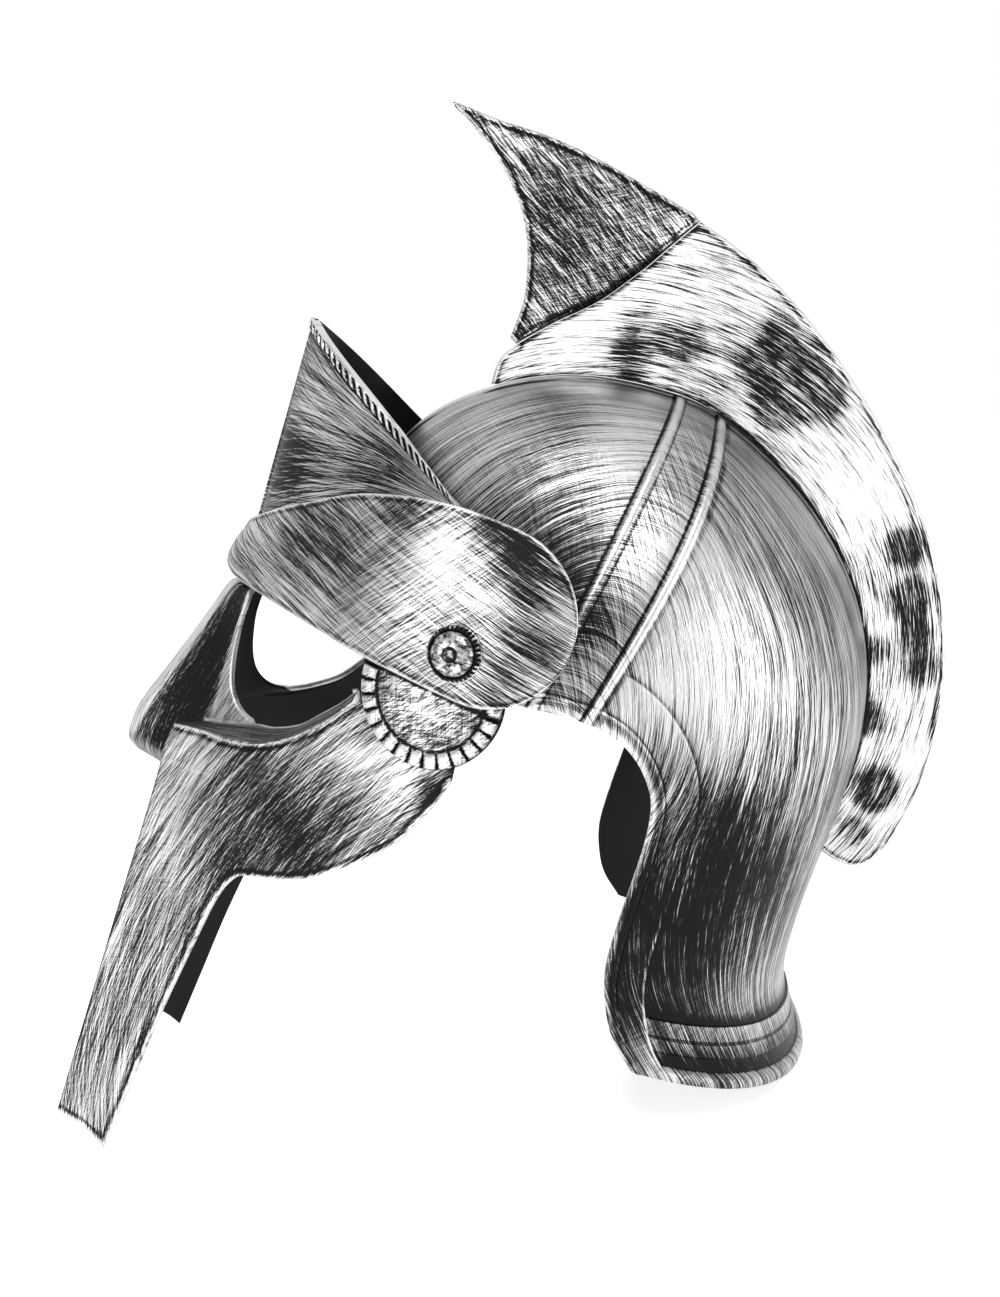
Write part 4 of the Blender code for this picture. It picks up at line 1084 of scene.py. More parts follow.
def make_peak(surfaces):
    """The peak, with a rope-like trim of slanted blocks along its top edge."""
    per_block = 12
    shares = np.linspace(0, 1, TRIM_BLOCKS * per_block + 1) ** 1.15
    foot, edge = peak_base(shares), peak_edge(shares)
    run = lengths((foot + edge) / 2)
    edge_run = lengths(edge)
    block = edge_run / edge_run[-1] * TRIM_BLOCKS
    calm = 0.75 * np.clip(1 - run / 0.045, 0, 1)
    length = np.linalg.norm(edge - foot, axis=1)
    trim = 1 - PEAK_TRIM_WIDTH / np.maximum(length, PEAK_TRIM_WIDTH * 2)
    along = np.gradient(foot + edge, axis=0)
    face = np.cross(edge - foot, along)
    face /= np.linalg.norm(face, axis=1, keepdims=True)
    face[0] = (0, -1, 0)
    face *= np.where(face[:, 1:2] > 0, -1, 1)
    levels = [(trim * part, 0.0, 0.0) for part in np.linspace(0, 0.97, 18)]
    levels.append((trim - TINY_BEVEL * 2 / length, -0.2, -0.8))
    levels.append((trim - TINY_BEVEL / length, -0.1, -0.6))
    first_notch = len(levels)
    for part in (0.0, 0.1, 0.22, 0.38, 0.52, 0.62, 0.70, 0.80, 0.90, 1.0):
        rise = 0.25 + 0.9 * float(round_top(part - 0.5, 0.56))
        levels.append((trim + (1 - trim) * part, rise, 0.55))
    outer, inner, stroke, paint = [], [], [], []
    for number, (level, lift, shade) in enumerate(levels):
        notched = first_notch <= number < first_notch + TRIM_NOTCHED_LEVELS
        off = np.abs((block + TRIM_SLANT * (number - first_notch)) % 1 - 0.5)
        gap = np.clip((off - 0.21) / 0.07, 0, 1)
        height = lift * PEAK_TRIM_HEIGHT * (1 - 0.85 * notched * gap)
        base = foot + (edge - foot) * level[:, None]
        outer.append(base + face * height[:, None])
        inner.append(base - face * PEAK_WALL)
        stroke.append(stacked(run, level * 0.048, calm * (lift == 0)))
        tone = shade - 1.7 * notched * gap
        if lift <= 0:
            # Painted shade towards the foot, below the band's top edge.
            tone = tone + patched(PEAK_PATCHES, base[:, 1], base[:, 2]) - 0.2 * bump(level, 0.0, 0.10)
            tone = tone - 0.12 * calm
        paint.append(stacked(tone, FAR, 0.08))
    outer, inner, stroke, paint = (np.array(found) for found in (outer, inner, stroke, paint))
    outer[:, 0, 0] = 0.0
    inner[:, 0, 0] = 0.0
    flip = np.array([-1, 1, 1])
    outer, inner = (np.concatenate([found[:, :0:-1] * flip, found], axis=1) for found in (outer, inner))
    stroke, paint = (np.concatenate([found[:, :0:-1], found], axis=1) for found in (stroke, paint))
    points, faces, stroke, paint, start = closed_sheet(outer, inner, stroke, paint)
    return mesh_object("brow_peak_brushed", points, faces, surfaces, None, stroke, paint, start)


def mask_out(back, up):
    """How far out the mask's cheek lies at a place in the side view."""
    under, brow, tip = (looked_up(MASK_PLAN, column, back / BAND_REACH) for column in (1, 2, 3))
    above = np.clip((up + CHEEK_BROW_LEVEL) / (CHEEK_BROW_LEVEL - CHEEK_UNDER_BAND_LEVEL), 0, 1)
    below = np.clip((-up - CHEEK_BROW_LEVEL) / (CHEEK_DROP - CHEEK_BROW_LEVEL), 0, 1)
    upper = brow + (under - brow) * above * above * (3 - 2 * above)
    return (upper + (tip - brow) * below) * MASK_HALF_WIDTH


def between(first, second, steps):
    """Evenly spaced points from the first to the second, without the first."""
    return [first + (second - first) * step / steps for step in range(1, steps + 1)]


def make_mask(surfaces):
    """The mask's half: nose, eye rim, shelf under the eye, and cheek guard."""
    steps, strip_steps = 5, 4
    levels = smooth_line(NOSE_LEVELS, steps)
    lower = smooth_line([NOSE_LEVELS[-1][:4], *NOSE_LOWER_LEVELS], steps)[1:]
    points, stroke, paint, faces = [], [], [], []
    rows = []
    for number, (drop, ridge, crease_back, crease_out) in enumerate(np.vstack([levels[:, :4], lower])):
        up = -drop * NOSE_DROP
        ridge_back = -ridge * NOSE_REACH
        tip = np.array([0.0, ridge_back, up])
        strip = np.array([NOSE_STRIP_OUT, ridge_back + NOSE_STRIP_BACK, up])
        crease = np.array([crease_out * MASK_HALF_WIDTH, -crease_back * NOSE_REACH, up])
        shoulder = tip + (strip - tip) * 0.72 + np.array([0, -NOSE_STRIP_BACK * 0.22, 0])
        line = [tip, tip + (shoulder - tip) * 0.5, shoulder, strip]
        line += between(strip, crease, 12)
        shade = list(NOSE_SHADES)
        if number < len(levels):
            rim_drop, rim_back, rim_out = levels[number][4:]
            rim = np.array([rim_out * MASK_HALF_WIDTH, -rim_back * NOSE_REACH, -rim_drop * NOSE_DROP])
            middle = (crease + rim) / 2
            if number == len(levels) - 1:
                out, back, down = SHELF_STATIONS[1][:3]
                middle = np.array([out * MASK_HALF_WIDTH, -back * BAND_REACH, -down * NOSE_DROP])
            line += between(crease, middle, strip_steps) + between(middle, rim, strip_steps)
            shade += [0.15] * (2 * strip_steps - 1) + [0.5]
        first = len(points)
        points += line
        lip = float(np.clip((drop - 0.93) / 0.04, 0, 1))
        stroke += [(up, float(over), 0.8 * lip) for over in lengths(np.array(line))]
        paint += [(value * (1 - lip) + 0.02 * lip, FAR, 0.05) for value in shade]
        if number == len(levels) - 1:
            join = list(range(first + len(NOSE_SHADES) - 1, first + len(line)))
        rows.append((first, len(line)))
    for (first, count), (second, other) in zip(rows[:-1], rows[1:]):
        for col in range(min(count, other) - 1):
            faces.append((first + col, first + col + 1, second + col + 1, second + col))

    at = [*np.linspace(0, 2, 2 * strip_steps + 1), *np.arange(2.125, len(SHELF_STATIONS) - 0.99, 0.125)]
    fine = smooth_rows(SHELF_STATIONS, at)
    inner = stacked(fine[:, 0] * MASK_HALF_WIDTH, -fine[:, 1] * BAND_REACH, -fine[:, 2] * NOSE_DROP)
    for step, corner in enumerate(join):
        inner[step] = points[corner]
    outer_side = stacked(-fine[:, 3] * BAND_REACH, -fine[:, 4] * NOSE_DROP)
    inner[-1, 0] = mask_out(inner[-1, 1], inner[-1, 2])
    radius = DISC_RADIUS + SEAT_GAP
    turns = np.radians(np.linspace(DISC_FIRST_ANGLE, DISC_LAST_ANGLE, 80))
    ear = stacked(DISC_BACK + radius * np.cos(turns), DISC_UP + radius * np.sin(turns))
    low_edge, rear, bottom, front = (
        smooth_line(table, parts) * (BAND_REACH, -CHEEK_DROP)
        for table, parts in (
            (CHEEK_LOWER_EDGE, 6),
            (CHEEK_REAR_EDGE, 16),
            (CHEEK_BOTTOM_EDGE, 5),
            (CHEEK_FRONT_EDGE, 18),
        )
    )
    outline = np.vstack([outer_side, inner[-1:, 1:], ear, low_edge, rear[1:], bottom[1:], front[1:-1]])
    flat, triangles = filled(outline, MASK_STEP, (), MASK_INSETS)
    first = len(points)
    points.extend(np.column_stack([mask_out(flat[:, 0], flat[:, 1]), flat]))
    faces += shifted(triangles, first)
    away = flat - np.array(CHEEK_STROKE_CENTRE)
    round_centre = np.arctan2(-away[:, 1], -away[:, 0]) * 0.24
    stroke.extend(stacked(round_centre, np.linalg.norm(away, axis=1), 0.0))
    worn = np.vstack([low_edge, rear[1:], bottom[1:]])
    from_edge = np.minimum(distance_to_line(worn, flat), distance_to_line(outer_side, flat))
    # Painted shade on the cheek round the ear disc's edge.
    shade_beside_ear = bump(distance_to_line(ear, flat), 0.0, 0.0016)
    tone = patched(CHEEK_PATCHES, flat[:, 0], flat[:, 1]) - 0.55 * shade_beside_ear
    paint.extend(stacked(tone, np.minimum(from_edge, FAR), 0.12))
    shelf_steps = 7
    shelf = len(points)
    count = len(inner)
    outer = np.array(points[first:first + count])
    shelf_run = lengths(inner)
    for part in np.linspace(0, 1, shelf_steps + 1):
        points.extend(inner + (outer - inner) * part)
        stroke.extend(stacked(shelf_run, part * 0.02, 0.7))
        shade = 0.45 if part == 0 else -0.12 if part < 1 else 0.4
        paint.extend(np.tile((shade, FAR, 0.1), (count, 1)))
    faces += shifted(grid_faces(shelf_steps + 1, count), shelf)
    mask = mesh_object("face_mask_brushed", points, faces, surfaces, (0, 0, -0.1), stroke, paint)
    mirror(mask)
    thicken(mask, MASK_WALL)
    return mask


def make_disc(name, side, surfaces):
    """An ear disc: a ring of worn blocks round a slightly domed, speckled face, with a painted highlight at
    its middle and a painted shadow under the band.
    """
    per_block = 9
    sides = DISC_TEETH * per_block
    ring = DISC_RADIUS - DISC_RING_WIDTH
    # radius, height, share of the gaps' depth, tone
    # The face's tone is a painted highlight, lightest at the middle.
    circles = [(ring * part, DISC_FACE_HEIGHT * (1.25 - 0.3 * part * part), 0.0, 0.06 - 0.22 * part)
               for part in np.linspace(0.08, 0.93, 12)]
    circles += [
        (ring * 0.965, DISC_FACE_HEIGHT * 0.75, 0.0, -0.7),
        (ring * 0.985, DISC_FACE_HEIGHT * 0.80, 0.0, -0.5),
        (ring * 1.01, DISC_RING_HEIGHT * 0.80, 0.5, 0.3),
        (ring + DISC_RING_WIDTH * 0.14, DISC_RING_HEIGHT * 0.97, 0.8, 0.25),
        (ring + DISC_RING_WIDTH * 0.35, DISC_RING_HEIGHT * 1.03, 1.0, 0.25),
        (ring + DISC_RING_WIDTH * 0.62, DISC_RING_HEIGHT * 1.00, 1.0, 0.25),
        (DISC_RADIUS - TINY_BEVEL * 2, DISC_RING_HEIGHT * 0.88, 1.0, 0.2),
        (DISC_RADIUS - TINY_BEVEL * 0.5, DISC_RING_HEIGHT * 0.60, 1.0, 0.2),
        (DISC_RADIUS, DISC_SEAT, 0.0, -0.4),
        (ring * 0.5, DISC_SEAT, 0.0, -0.6),
    ]

    def slanted(back, up):
        return stacked(back * 0.7 + up * 0.7, up * 0.7 - back * 0.7, 0.0)

    points, stroke, paint, faces = [], [], [], []
    share = np.arange(sides) / per_block % 1
    gap = np.maximum(bump(share, 0.0, 0.17), bump(share, 1.0, 0.17))
    turn = 2 * math.pi * np.arange(sides) / sides
    for radius, height, tooth, shade in circles:
        back = DISC_BACK + radius * np.cos(turn)
        up = DISC_UP + radius * np.sin(turn)
        lift = height - tooth * DISC_RING_HEIGHT * 0.55 * gap
        points.extend(stacked(side * (mask_out(back, up) + lift), back, up))
        stroke.extend(slanted(back, up))
        # A painted shadow of the band, in a line just under its lower edge.
        tone = shade - (1.1 if tooth else 0.0) * gap - 0.7 * bump(up, -BAND_DROP - 0.0012, 0.0016)
        paint.extend(stacked(tone, FAR, 0.3))
    for circle in range(len(circles) - 1):
        faces += ring_faces(circle * sides, (circle + 1) * sides, sides)
    for circle, height in ((0, DISC_FACE_HEIGHT * 1.25), (len(circles) - 1, DISC_SEAT)):
        faces += fan_faces(len(points), circle * sides, sides)
        points.append((side * (float(mask_out(DISC_BACK, DISC_UP)) + height), DISC_BACK, DISC_UP))
        stroke.append(slanted(DISC_BACK, DISC_UP))
        paint.append((0.06, FAR, 0.3))
    return mesh_object(name, points, faces, surfaces, None, stroke, paint)


def turned(outline, sides, tooth=None):
    """A closed solid of revolution round X, with the tones of its points.

    The outline's rows are along, radius, tone and tooth depth. The first and the last lie on the axis.
    """
    points, tone = [(outline[0][0], 0.0, 0.0)], [outline[0][2]]
    for along, radius, shade, depth in outline[1:-1]:
        for step in range(sides):
            turn = 2 * math.pi * step / sides
            dip = 0.0 if tooth is None else tooth[step] * depth
            points.append((along, (radius - dip) * math.cos(turn), (radius - dip) * math.sin(turn)))
            tone.append(shade - (1.6 * tooth[step] if depth and tooth is not None else 0.0))
    points.append((outline[-1][0], 0.0, 0.0))
    tone.append(outline[-1][2])
    last = len(outline) - 3
    faces = fan_faces(0, 1, sides)
    for ring in range(last):
        faces += ring_faces(1 + ring * sides, 1 + (ring + 1) * sides, sides)
    faces += fan_faces(len(points) - 1, 1 + last * sides, sides)
    return np.array(points), faces, tone


def rivet_place():
    """Where the rivet's head sits on the band, and how far the band faces forward there."""
    out = float(band_plan(PIVOT_BACK))
    bulge = BAND_SIDE_BULGE + (BAND_FRONT_BULGE - BAND_SIDE_BULGE) * (1 - out / BAND_HALF_WIDTH)
    face_out, face_back = band_plan_normal(PIVOT_BACK)
    return out + bulge * 1.15, math.atan2(float(face_back), float(face_out))


def skull_side_at_pivot():
    """How far out the skull's side lies at the pivot, found on its sections."""
    rows = np.repeat(np.linspace(0, 8, 161), 60)
    shares = np.tile(np.linspace(0.3, 1, 60), 161)
    points = skull_point(rows, shares)
    near = np.hypot(points[:, 1] - PIVOT_BACK, points[:, 2] - PIVOT_UP)
    return points[np.argmin(near), 0]


def placed(points, side, out=0.0, turn=0.0):
    """Points of a part along X, turned round Z and set at the pivot on one side of the helmet."""
    cos, sin = math.cos(turn), math.sin(turn)
    x = points[:, 0] * cos - points[:, 1] * sin + out
    y = points[:, 0] * sin + points[:, 1] * cos + PIVOT_BACK
    return stacked(x * side, y, points[:, 2] + PIVOT_UP)


def make_rivet(name, side, surfaces):
    """Knurled ring, mottled cap and nipple outside the band, shank through every wall, and a flat tail."""
    out, turn = rivet_place()
    inner = float(skull_side_at_pivot()) - SKULL_WALL - RIVET_TAIL_RADIUS * 0.65
    per_tooth = 6
    sides = RIVET_TEETH * per_tooth
    share = np.arange(sides) / per_tooth % 1
    tooth = np.maximum(bump(share, 0.0, 0.36), bump(share, 1.0, 0.36))
    deep = RIVET_RING_RADIUS * 0.055
    head = [
        (0.0, 0.0, 0.0, 0.0),
        (0.0, RIVET_RING_RADIUS, 0.5, 0.0),
        (RIVET_RING_HEIGHT * 0.2, RIVET_RING_RADIUS, 0.5, 0.0),
        (RIVET_RING_HEIGHT * 0.3, RIVET_RING_RADIUS - TINY_BEVEL, 0.1, deep),
        (RIVET_RING_HEIGHT * 0.8, RIVET_RING_RADIUS - TINY_BEVEL, 0.3, deep),
        (RIVET_RING_HEIGHT * 1.0, RIVET_RING_RADIUS - TINY_BEVEL * 2.0, 0.1, deep),
        (RIVET_RING_HEIGHT * 1.04, RIVET_RING_RADIUS - TINY_BEVEL * 3.2, -0.25, deep * 0.6),
        (RIVET_RING_HEIGHT, RIVET_CAP_RADIUS + TINY_BEVEL * 1.2, -0.4, 0.0),
        (RIVET_RING_HEIGHT * 0.72, RIVET_CAP_RADIUS + TINY_BEVEL * 0.2, -0.9, 0.0),
        (RIVET_RING_HEIGHT * 0.78, RIVET_CAP_RADIUS * 0.985, -0.7, 0.0),
    ]
    rise = RIVET_CAP_HEIGHT - RIVET_RING_HEIGHT * 0.8
    for part in np.linspace(0.97, RIVET_NIPPLE_RADIUS / RIVET_CAP_RADIUS + 0.04, 12):
        up = RIVET_RING_HEIGHT * 0.8 + rise * math.sqrt(1 - part**2.4)
        head.append((up, RIVET_CAP_RADIUS * part, 0.05, 0.0))
    top = head[-1][0]
    head += [
        (top - TINY_BEVEL * 0.8, RIVET_NIPPLE_RADIUS * 1.05, -0.9, 0.0),
        (top + RIVET_NIPPLE_HEIGHT * 0.35, RIVET_NIPPLE_RADIUS, -0.4, 0.0),
        (top + RIVET_NIPPLE_HEIGHT * 0.75, RIVET_NIPPLE_RADIUS * 0.85, -0.3, 0.0),
        # The nipple's lighter top is a painted highlight.
        (top + RIVET_NIPPLE_HEIGHT * 0.98, RIVET_NIPPLE_RADIUS * 0.5, 0.1, 0.0),
        (top + RIVET_NIPPLE_HEIGHT, 0.0, 0.1, 0.0),
    ]
    shank = (
        (inner - RIVET_TAIL_THICKNESS, 0.0, -0.3, 0.0),
        (inner - RIVET_TAIL_THICKNESS, RIVET_TAIL_RADIUS - TINY_BEVEL, -0.3, 0.0),
        (inner - RIVET_TAIL_THICKNESS + TINY_BEVEL, RIVET_TAIL_RADIUS, -0.1, 0.0),
        (inner - TINY_BEVEL, RIVET_TAIL_RADIUS, -0.1, 0.0),
        (inner, RIVET_TAIL_RADIUS - TINY_BEVEL, -0.3, 0.0),
        (inner + TINY_BEVEL * 0.5, RIVET_SHANK_RADIUS, -0.4, 0.0),
        (out + RIVET_RING_HEIGHT, RIVET_SHANK_RADIUS, -0.4, 0.0),
        (out + RIVET_RING_HEIGHT, 0.0, -0.4, 0.0),
    )

    def half_rivet(word, found, *place):
        points, faces, tone = found
        points = placed(points, side, *place)
        stroke = stacked(points[:, 1], points[:, 2], 0.0)
        return mesh_object(word, points, faces, surfaces, None, stroke, stacked(tone, FAR, 0.3))

    head = turned(head, sides, tooth)
    head[0][:, 0] += SEAT_GAP * 2.5
    rivet = half_rivet(name, head, out, turn)
    tail = half_rivet(name + "_shank", turned(shank, 48))
    joined = rivet.modifiers.new("shank", "BOOLEAN")
    joined.operation = "UNION"
    joined.object = tail
    settle(rivet)
    bpy.data.objects.remove(tail, do_unlink=True)
    return rivet


def settle(piece):
    """Writes a piece's modifiers into its mesh."""
    graph = bpy.context.evaluated_depsgraph_get()
    solved = piece.evaluated_get(graph)
    mesh = bpy.data.meshes.new_from_object(solved, preserve_all_data_layers=True, depsgraph=graph)
    piece.modifiers.clear()
    piece.data = mesh


def make_pivot_cutter(name, radius):
    """A rod through both sides, which cuts the holes for the shanks."""
    half = BAND_HALF_WIDTH * 1.3
    rod = ((-half, 0, 0, 0), (-half, radius, 0, 0), (half, radius, 0, 0), (half, 0, 0, 0))
    points, faces = turned(rod, 24)[:2]
    return mesh_object(name, placed(points, 1), faces, ())


def maths(nodes, links, operation, first, second, third=None):
    """One maths node: a number or an output for each input."""
    made = nodes.new("ShaderNodeMath")
    made.operation = operation
    for place, value in enumerate((first, second, third)):
        if value is None:
            continue
        if isinstance(value, (int, float)):
            made.inputs[place].default_value = value
        else:
            links.new(value, made.inputs[place])
    return made.outputs[0]


def noise(nodes, links, vector, scale, detail, roughness):
    """Noise round 0, by place."""
    made = nodes.new("ShaderNodeTexNoise")
    for word, value in (("Scale", scale), ("Detail", detail), ("Roughness", roughness)):
        made.inputs[word].default_value = value
    links.new(vector, made.inputs["Vector"])
    return maths(nodes, links, "SUBTRACT", made.outputs[0], 0.5)


def new_material(name):
    """A material, with its nodes, its links and its shader."""
    made = bpy.data.materials.new(name)
    made.use_nodes = True
    nodes, links = made.node_tree.nodes, made.node_tree.links
    return made, nodes, links, nodes["Principled BSDF"]


def parts_of(nodes, links, vector):
    """The three numbers of a vector."""
    split = nodes.new("ShaderNodeSeparateXYZ")
    links.new(vector, split.inputs[0])
    return split.outputs


def ramped(nodes, links, value, stops):
    """A colour by value, from stops of position and colour."""
    ramp = nodes.new("ShaderNodeValToRGB")
    while len(ramp.color_ramp.elements) < len(stops):
        ramp.color_ramp.elements.new(0.5)
    for element, (position, colour) in zip(ramp.color_ramp.elements, stops):
        element.position = position
        element.color = (*colour, 1.0)
    links.new(value, ramp.inputs["Fac"])
    return ramp.outputs["Color"]


def bumped(nodes, links, shader, height, strength, distance):
    """Fine relief in the shading."""
    hill = nodes.new("ShaderNodeBump")
    hill.inputs["Strength"].default_value = strength
    hill.inputs["Distance"].default_value = distance
    links.new(height, hill.inputs["Height"])
    links.new(hill.outputs[0], shader.inputs["Normal"])


def brushed(name, bias, seed, hair=1.0, length=0.055, width=0.0007, blotch=0.5, blotch_size=0.030, rim=0.5,
            line=0.5, bright=0.70, rough=0.34, spread=4.0, rim_width=1.0):
    """Silver paint dragged over black plastic: fine hairs along the strokes, blotches, and worn edges."""
    made, nodes, links, shader = new_material(name)

    def calc(operation, first, second, third=None):
        return maths(nodes, links, operation, first, second, third)

    def attribute(word):
        found = nodes.new("ShaderNodeAttribute")
        found.attribute_name = word
        return parts_of(nodes, links, found.outputs["Vector"])

    def ranged(value, low, high, first, second):
        made_range = nodes.new("ShaderNodeMapRange")
        for word, number in (("From Min", low), ("From Max", high), ("To Min", first), ("To Max", second)):
            made_range.inputs[word].default_value = number
        links.new(value, made_range.inputs["Value"])
        return made_range.outputs[0]

    stroke, paint = attribute("stroke"), attribute("paint")
    place = nodes.new("ShaderNodeTexCoord").outputs["Object"]
    side = calc("SIGN", parts_of(nodes, links, place)[0], None)
    layer = calc("MULTIPLY_ADD", side, 3.1, seed * 17.0)
    waver = noise(nodes, links, place, 26.0, 1.0, 0.5)
    along = stroke[0]
    across = calc("MULTIPLY_ADD", waver, 0.0018, stroke[1])

    def hairs(degrees, long, wide, step):
        turn = math.radians(degrees)
        joined = nodes.new("ShaderNodeCombineXYZ")
        run = calc("MULTIPLY_ADD", across, math.sin(turn), calc("MULTIPLY", along, math.cos(turn)))
        over = calc("MULTIPLY_ADD", across, math.cos(turn), calc("MULTIPLY", along, -math.sin(turn)))
        links.new(calc("MULTIPLY", run, 1 / long), joined.inputs[0])
        links.new(calc("MULTIPLY", over, 1 / wide), joined.inputs[1])
        links.new(calc("ADD", layer, step), joined.inputs[2])
        return noise(nodes, links, joined.outputs[0], 1.0, 1.3, 0.6)

    main_hairs = calc("ADD", hairs(0, length, width, 0.0), hairs(spread, length * 0.8, width * 0.8, 5.0))
    main_hairs = calc("ADD", main_hairs, hairs(-spread * 1.4, length * 0.6, width * 1.1, 9.0))
    coarse = hairs(2, length * 1.2, width * 5.0, 13.0)
    crossed = calc("ADD", hairs(64, length, width, 19.0), hairs(54, length * 0.7, width * 0.8, 23.0))
    still = calc("MULTIPLY_ADD", stroke[2], -0.72, 1.0)
    straight = calc("MULTIPLY", main_hairs, calc("MULTIPLY_ADD", paint[2], -0.75, 1.0))
    strands = calc("MULTIPLY_ADD", crossed, calc("MULTIPLY", paint[2], 1.3), straight)
    strands = calc("MULTIPLY", strands, calc("MULTIPLY", still, hair * 1.5))
    blotches = noise(nodes, links, place, 1 / blotch_size, 3.0, 0.6)
    edge_noise = noise(nodes, links, place, 220.0, 2.0, 0.6)
    edge = calc("MULTIPLY_ADD", edge_noise, 0.0016, paint[1])
    # paint[0] brings each piece's tone: the paint's own, and painted highlights and shade.
    value = calc("MULTIPLY_ADD", blotches, calc("MULTIPLY", still, blotch), calc("ADD", paint[0], bias))
    value = calc("MULTIPLY_ADD", coarse, calc("MULTIPLY", still, 0.6 * hair), value)
    value = calc("ADD", value, strands)
    value = calc("ADD", value, ranged(edge, 0.0005 * rim_width, 0.0016 * rim_width, rim, 0.0))
    beside = calc("MULTIPLY", ranged(edge, 0.0011, 0.0019, 0.0, line), ranged(edge, 0.0020, 0.0034, 1.0, 0.0))
    value = calc("SUBTRACT", value, beside)
    stops = [(position, (level * bright,) * 3) for position, level in SILVER_STOPS]
    links.new(ramped(nodes, links, value, stops), shader.inputs["Base Color"])
    links.new(ranged(value, 0.20, 0.55, 0.0, 0.94), shader.inputs["Metallic"])
    shader.inputs["Specular IOR Level"].default_value = SILVER_SPECULAR
    links.new(calc("MULTIPLY_ADD", strands, 0.12, rough), shader.inputs["Roughness"])
    bumped(nodes, links, shader, calc("ADD", strands, coarse), 0.4, 0.00018)
    return made


def plain_black(name):
    """The bare black plastic inside: satin, with the faint waves of a moulding."""
    made, nodes, links, shader = new_material(name)
    place = nodes.new("ShaderNodeTexCoord").outputs["Object"]
    waves = noise(nodes, links, place, 18.0, 2.0, 0.5)
    grain = noise(nodes, links, place, 900.0, 1.0, 0.5)
    colour = ramped(nodes, links, maths(nodes, links, "ADD", waves, 0.5), BLACK_STOPS)
    links.new(colour, shader.inputs["Base Color"])
    links.new(maths(nodes, links, "MULTIPLY_ADD", waves, 0.15, 0.33), shader.inputs["Roughness"])
    shader.inputs["Specular IOR Level"].default_value = BLACK_SPECULAR
    bumped(nodes, links, shader, maths(nodes, links, "MULTIPLY_ADD", grain, 0.3, waves), 0.2, 0.0002)
    return made


def make_camera():
    """The photo's camera, carried from its own frame to the helmet at rest."""
    azimuth, elevation = math.radians(CAMERA_AZIMUTH), math.radians(CAMERA_ELEVATION)
    level = math.cos(elevation)
    back = Vector((math.sin(azimuth) * level, -math.cos(azimuth) * level, math.sin(elevation)))
    right = Vector((0, 0, 1)).cross(back).normalized()
    place = back * CAMERA_DISTANCE
    axes = [(*axis, 0.0) for axis in (right, back.cross(right), back)]
    seen = Matrix([*axes, (*place, 1.0)]).transposed()
    turn = Matrix.Rotation(math.radians(CAMERA_TURN), 4, "X")
    to_level = turn @ Matrix.Translation((0, -CAMERA_SHIFT_BACK, -CAMERA_SHIFT_UP))
    data = bpy.data.cameras.new("camera")
    data.sensor_fit = "AUTO"
    data.sensor_width = SENSOR_WIDTH
    data.lens = CAMERA_FOCUS_PIXELS * SENSOR_WIDTH / PHOTO_HEIGHT_PIXELS
    data.clip_start = 0.01
    camera = in_scene("camera", data)
    camera.matrix_world = TO_WORLD @ to_level @ seen
    bpy.context.scene.camera = camera


def softbox(name, place, size, power):
    """A rectangular light aimed at the helmet."""
    data = bpy.data.lights.new(name, "AREA")
    data.shape = "RECTANGLE"
    data.size, data.size_y = size
    data.energy = power
    lamp = in_scene(name, data)
    lamp.location = place
    lamp.rotation_euler = (Vector(LIGHT_TARGET) - Vector(place)).to_track_quat("-Z", "Y").to_euler()


def make_world():
    """A white studio beyond the helmet, greyer behind the camera."""
    world = bpy.data.worlds.new("studio")
    bpy.context.scene.world = world
    world.use_nodes = True
    nodes, links = world.node_tree.nodes, world.node_tree.links
    place = nodes.new("ShaderNodeTexCoord").outputs["Generated"]
    across = maths(nodes, links, "MULTIPLY_ADD", parts_of(nodes, links, place)[0], 0.5, 0.5)
    links.new(ramped(nodes, links, across, WORLD_STOPS), nodes["Background"].inputs["Color"])
    nodes["Background"].inputs["Strength"].default_value = 1.0


def make_floor():
    """A wide pale floor that glows a little, so that the photo's camera sees no horizon."""
    made, nodes, links, shader = new_material("pale floor")
    place = nodes.new("ShaderNodeTexCoord").outputs["Object"]
    waves = maths(nodes, links, "ADD", noise(nodes, links, place, 3.0, 1.0, 0.5), 0.5)
    links.new(ramped(nodes, links, waves, FLOOR_STOPS), shader.inputs["Base Color"])
    shader.inputs["Roughness"].default_value = 0.8
    shader.inputs["Specular IOR Level"].default_value = 0.1
    shader.inputs["Emission Color"].default_value = (1.0, 1.0, 1.0, 1.0)
    shader.inputs["Emission Strength"].default_value = FLOOR_GLOW
    mesh = bpy.data.meshes.new("floor")
    half = FLOOR_HALF_WIDTH
    corners = [(-half, -half, 0), (half, -half, 0), (half, half, 0), (-half, half, 0)]
    mesh.from_pydata(corners, [], [(0, 1, 2, 3)])
    floor = in_scene("floor", mesh)
    mesh.materials.append(made)


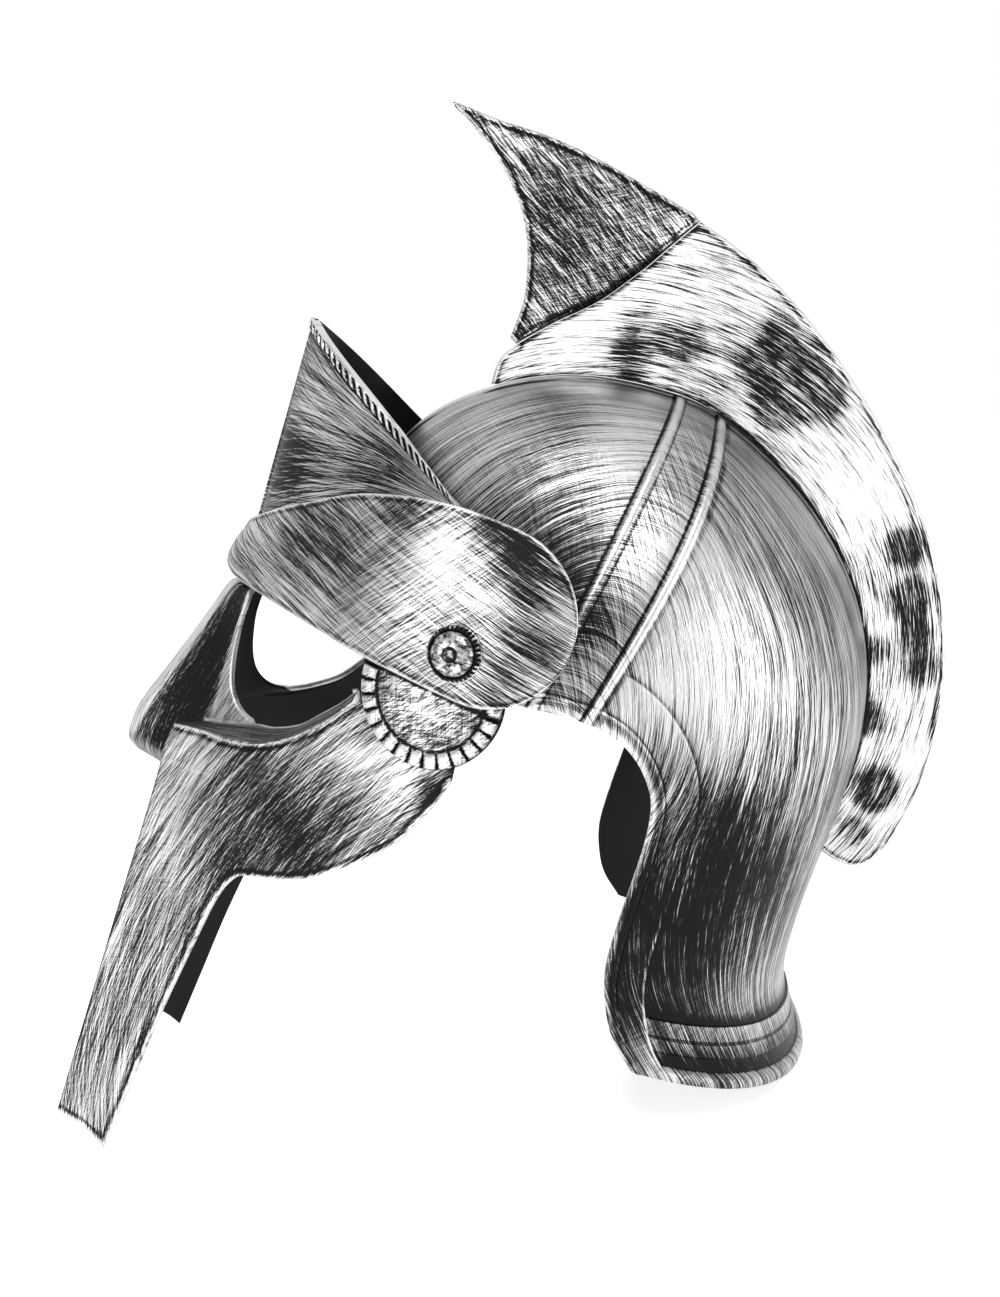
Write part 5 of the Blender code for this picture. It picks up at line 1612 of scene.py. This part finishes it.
def main():
    """Studio, materials and pieces, with what each piece rides on and replaces."""
    bpy.context.scene.view_settings.view_transform = "Standard"
    make_camera()
    make_world()
    make_floor()
    for light in LIGHTS:
        softbox(*light)
    black = plain_black("black plastic")
    dome = brushed("brushed dome", 0.56, 1, length=0.09, width=0.0004, spread=2.5)
    crest = brushed("brushed crest", 0.86, 2, hair=1.5, length=0.034, width=0.0005, blotch=0.7,
                    blotch_size=0.016, bright=0.76, rough=0.5, spread=3.0)
    horn = brushed("brushed horn", 0.42, 3, hair=1.5, length=0.018, width=0.0005, rim=0.45, rough=0.42,
                   spread=7.0)
    band = brushed("brushed band", 0.58, 4, length=0.045, width=0.00045, line=0.25, rough=0.38, rim_width=0.7)
    peak = brushed("brushed peak", 0.53, 5, hair=1.1, width=0.0005)
    mask = brushed("brushed mask", 0.52, 6, length=0.042, width=0.00042, rough=0.40, spread=8.0,
                   blotch=0.4, line=0.4, rim_width=0.65)
    trim = brushed("worn disc with painted light", 0.62, 7, hair=0.9, length=0.009, width=0.0005, blotch=0.9,
                   blotch_size=0.007, rough=0.40, spread=16.0)
    stud = brushed("mottled rivet", 0.50, 8, hair=0.4, length=0.004, blotch=2.0, blotch_size=0.003)

    hole = make_pivot_cutter("shank_hole", RIVET_SHANK_RADIUS + SEAT_GAP)
    skull = make_skull((dome, black))
    blade, spike = make_crest(((crest,), (horn,)))
    brow = make_band((band, black))
    rise = make_peak((peak, black))
    face = make_mask((mask, black))
    for piece in (skull, brow, face):
        cut(piece, hole)
    made = [
        (skull, "skull", "helmet", "brushed_silver"),
        (blade, "crest_blade", "helmet", "brushed_silver"),
        (spike, "crest_horn", "helmet", "brushed_silver"),
        (brow, "brow_band", "visor", "brushed_silver"),
        (rise, "brow_peak", "visor", "brushed_silver"),
        (face, "face_mask", "visor", "brushed_silver"),
    ]
    for word, side in (("left", 1), ("right", -1)):
        disc = make_disc("ear_disc_" + word + "_worn_with_painted_light", side, (trim,))
        cut(disc, hole)
        rivet = make_rivet("rivet_" + word + "_worn_with_painted_light", side, (stud,))
        made.append((disc, "ear_disc_" + word, "visor", "bright_trim"))
        made.append((rivet, "rivet_" + word, "visor", "rivet_silver"))
    for piece, node, body, finish in made:
        settle(piece)
        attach(piece, body)
        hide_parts(node)
    bpy.data.objects.remove(hole, do_unlink=True)


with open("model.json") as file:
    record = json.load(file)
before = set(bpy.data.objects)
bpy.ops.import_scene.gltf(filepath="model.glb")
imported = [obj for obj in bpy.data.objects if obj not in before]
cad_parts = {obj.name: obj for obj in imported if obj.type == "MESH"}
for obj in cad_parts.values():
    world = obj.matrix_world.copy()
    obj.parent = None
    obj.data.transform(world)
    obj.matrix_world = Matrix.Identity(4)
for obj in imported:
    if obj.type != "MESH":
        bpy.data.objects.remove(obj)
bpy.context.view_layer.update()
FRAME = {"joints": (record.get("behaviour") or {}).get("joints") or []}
TO_WORLD = level_to_world(FRAME)
main()
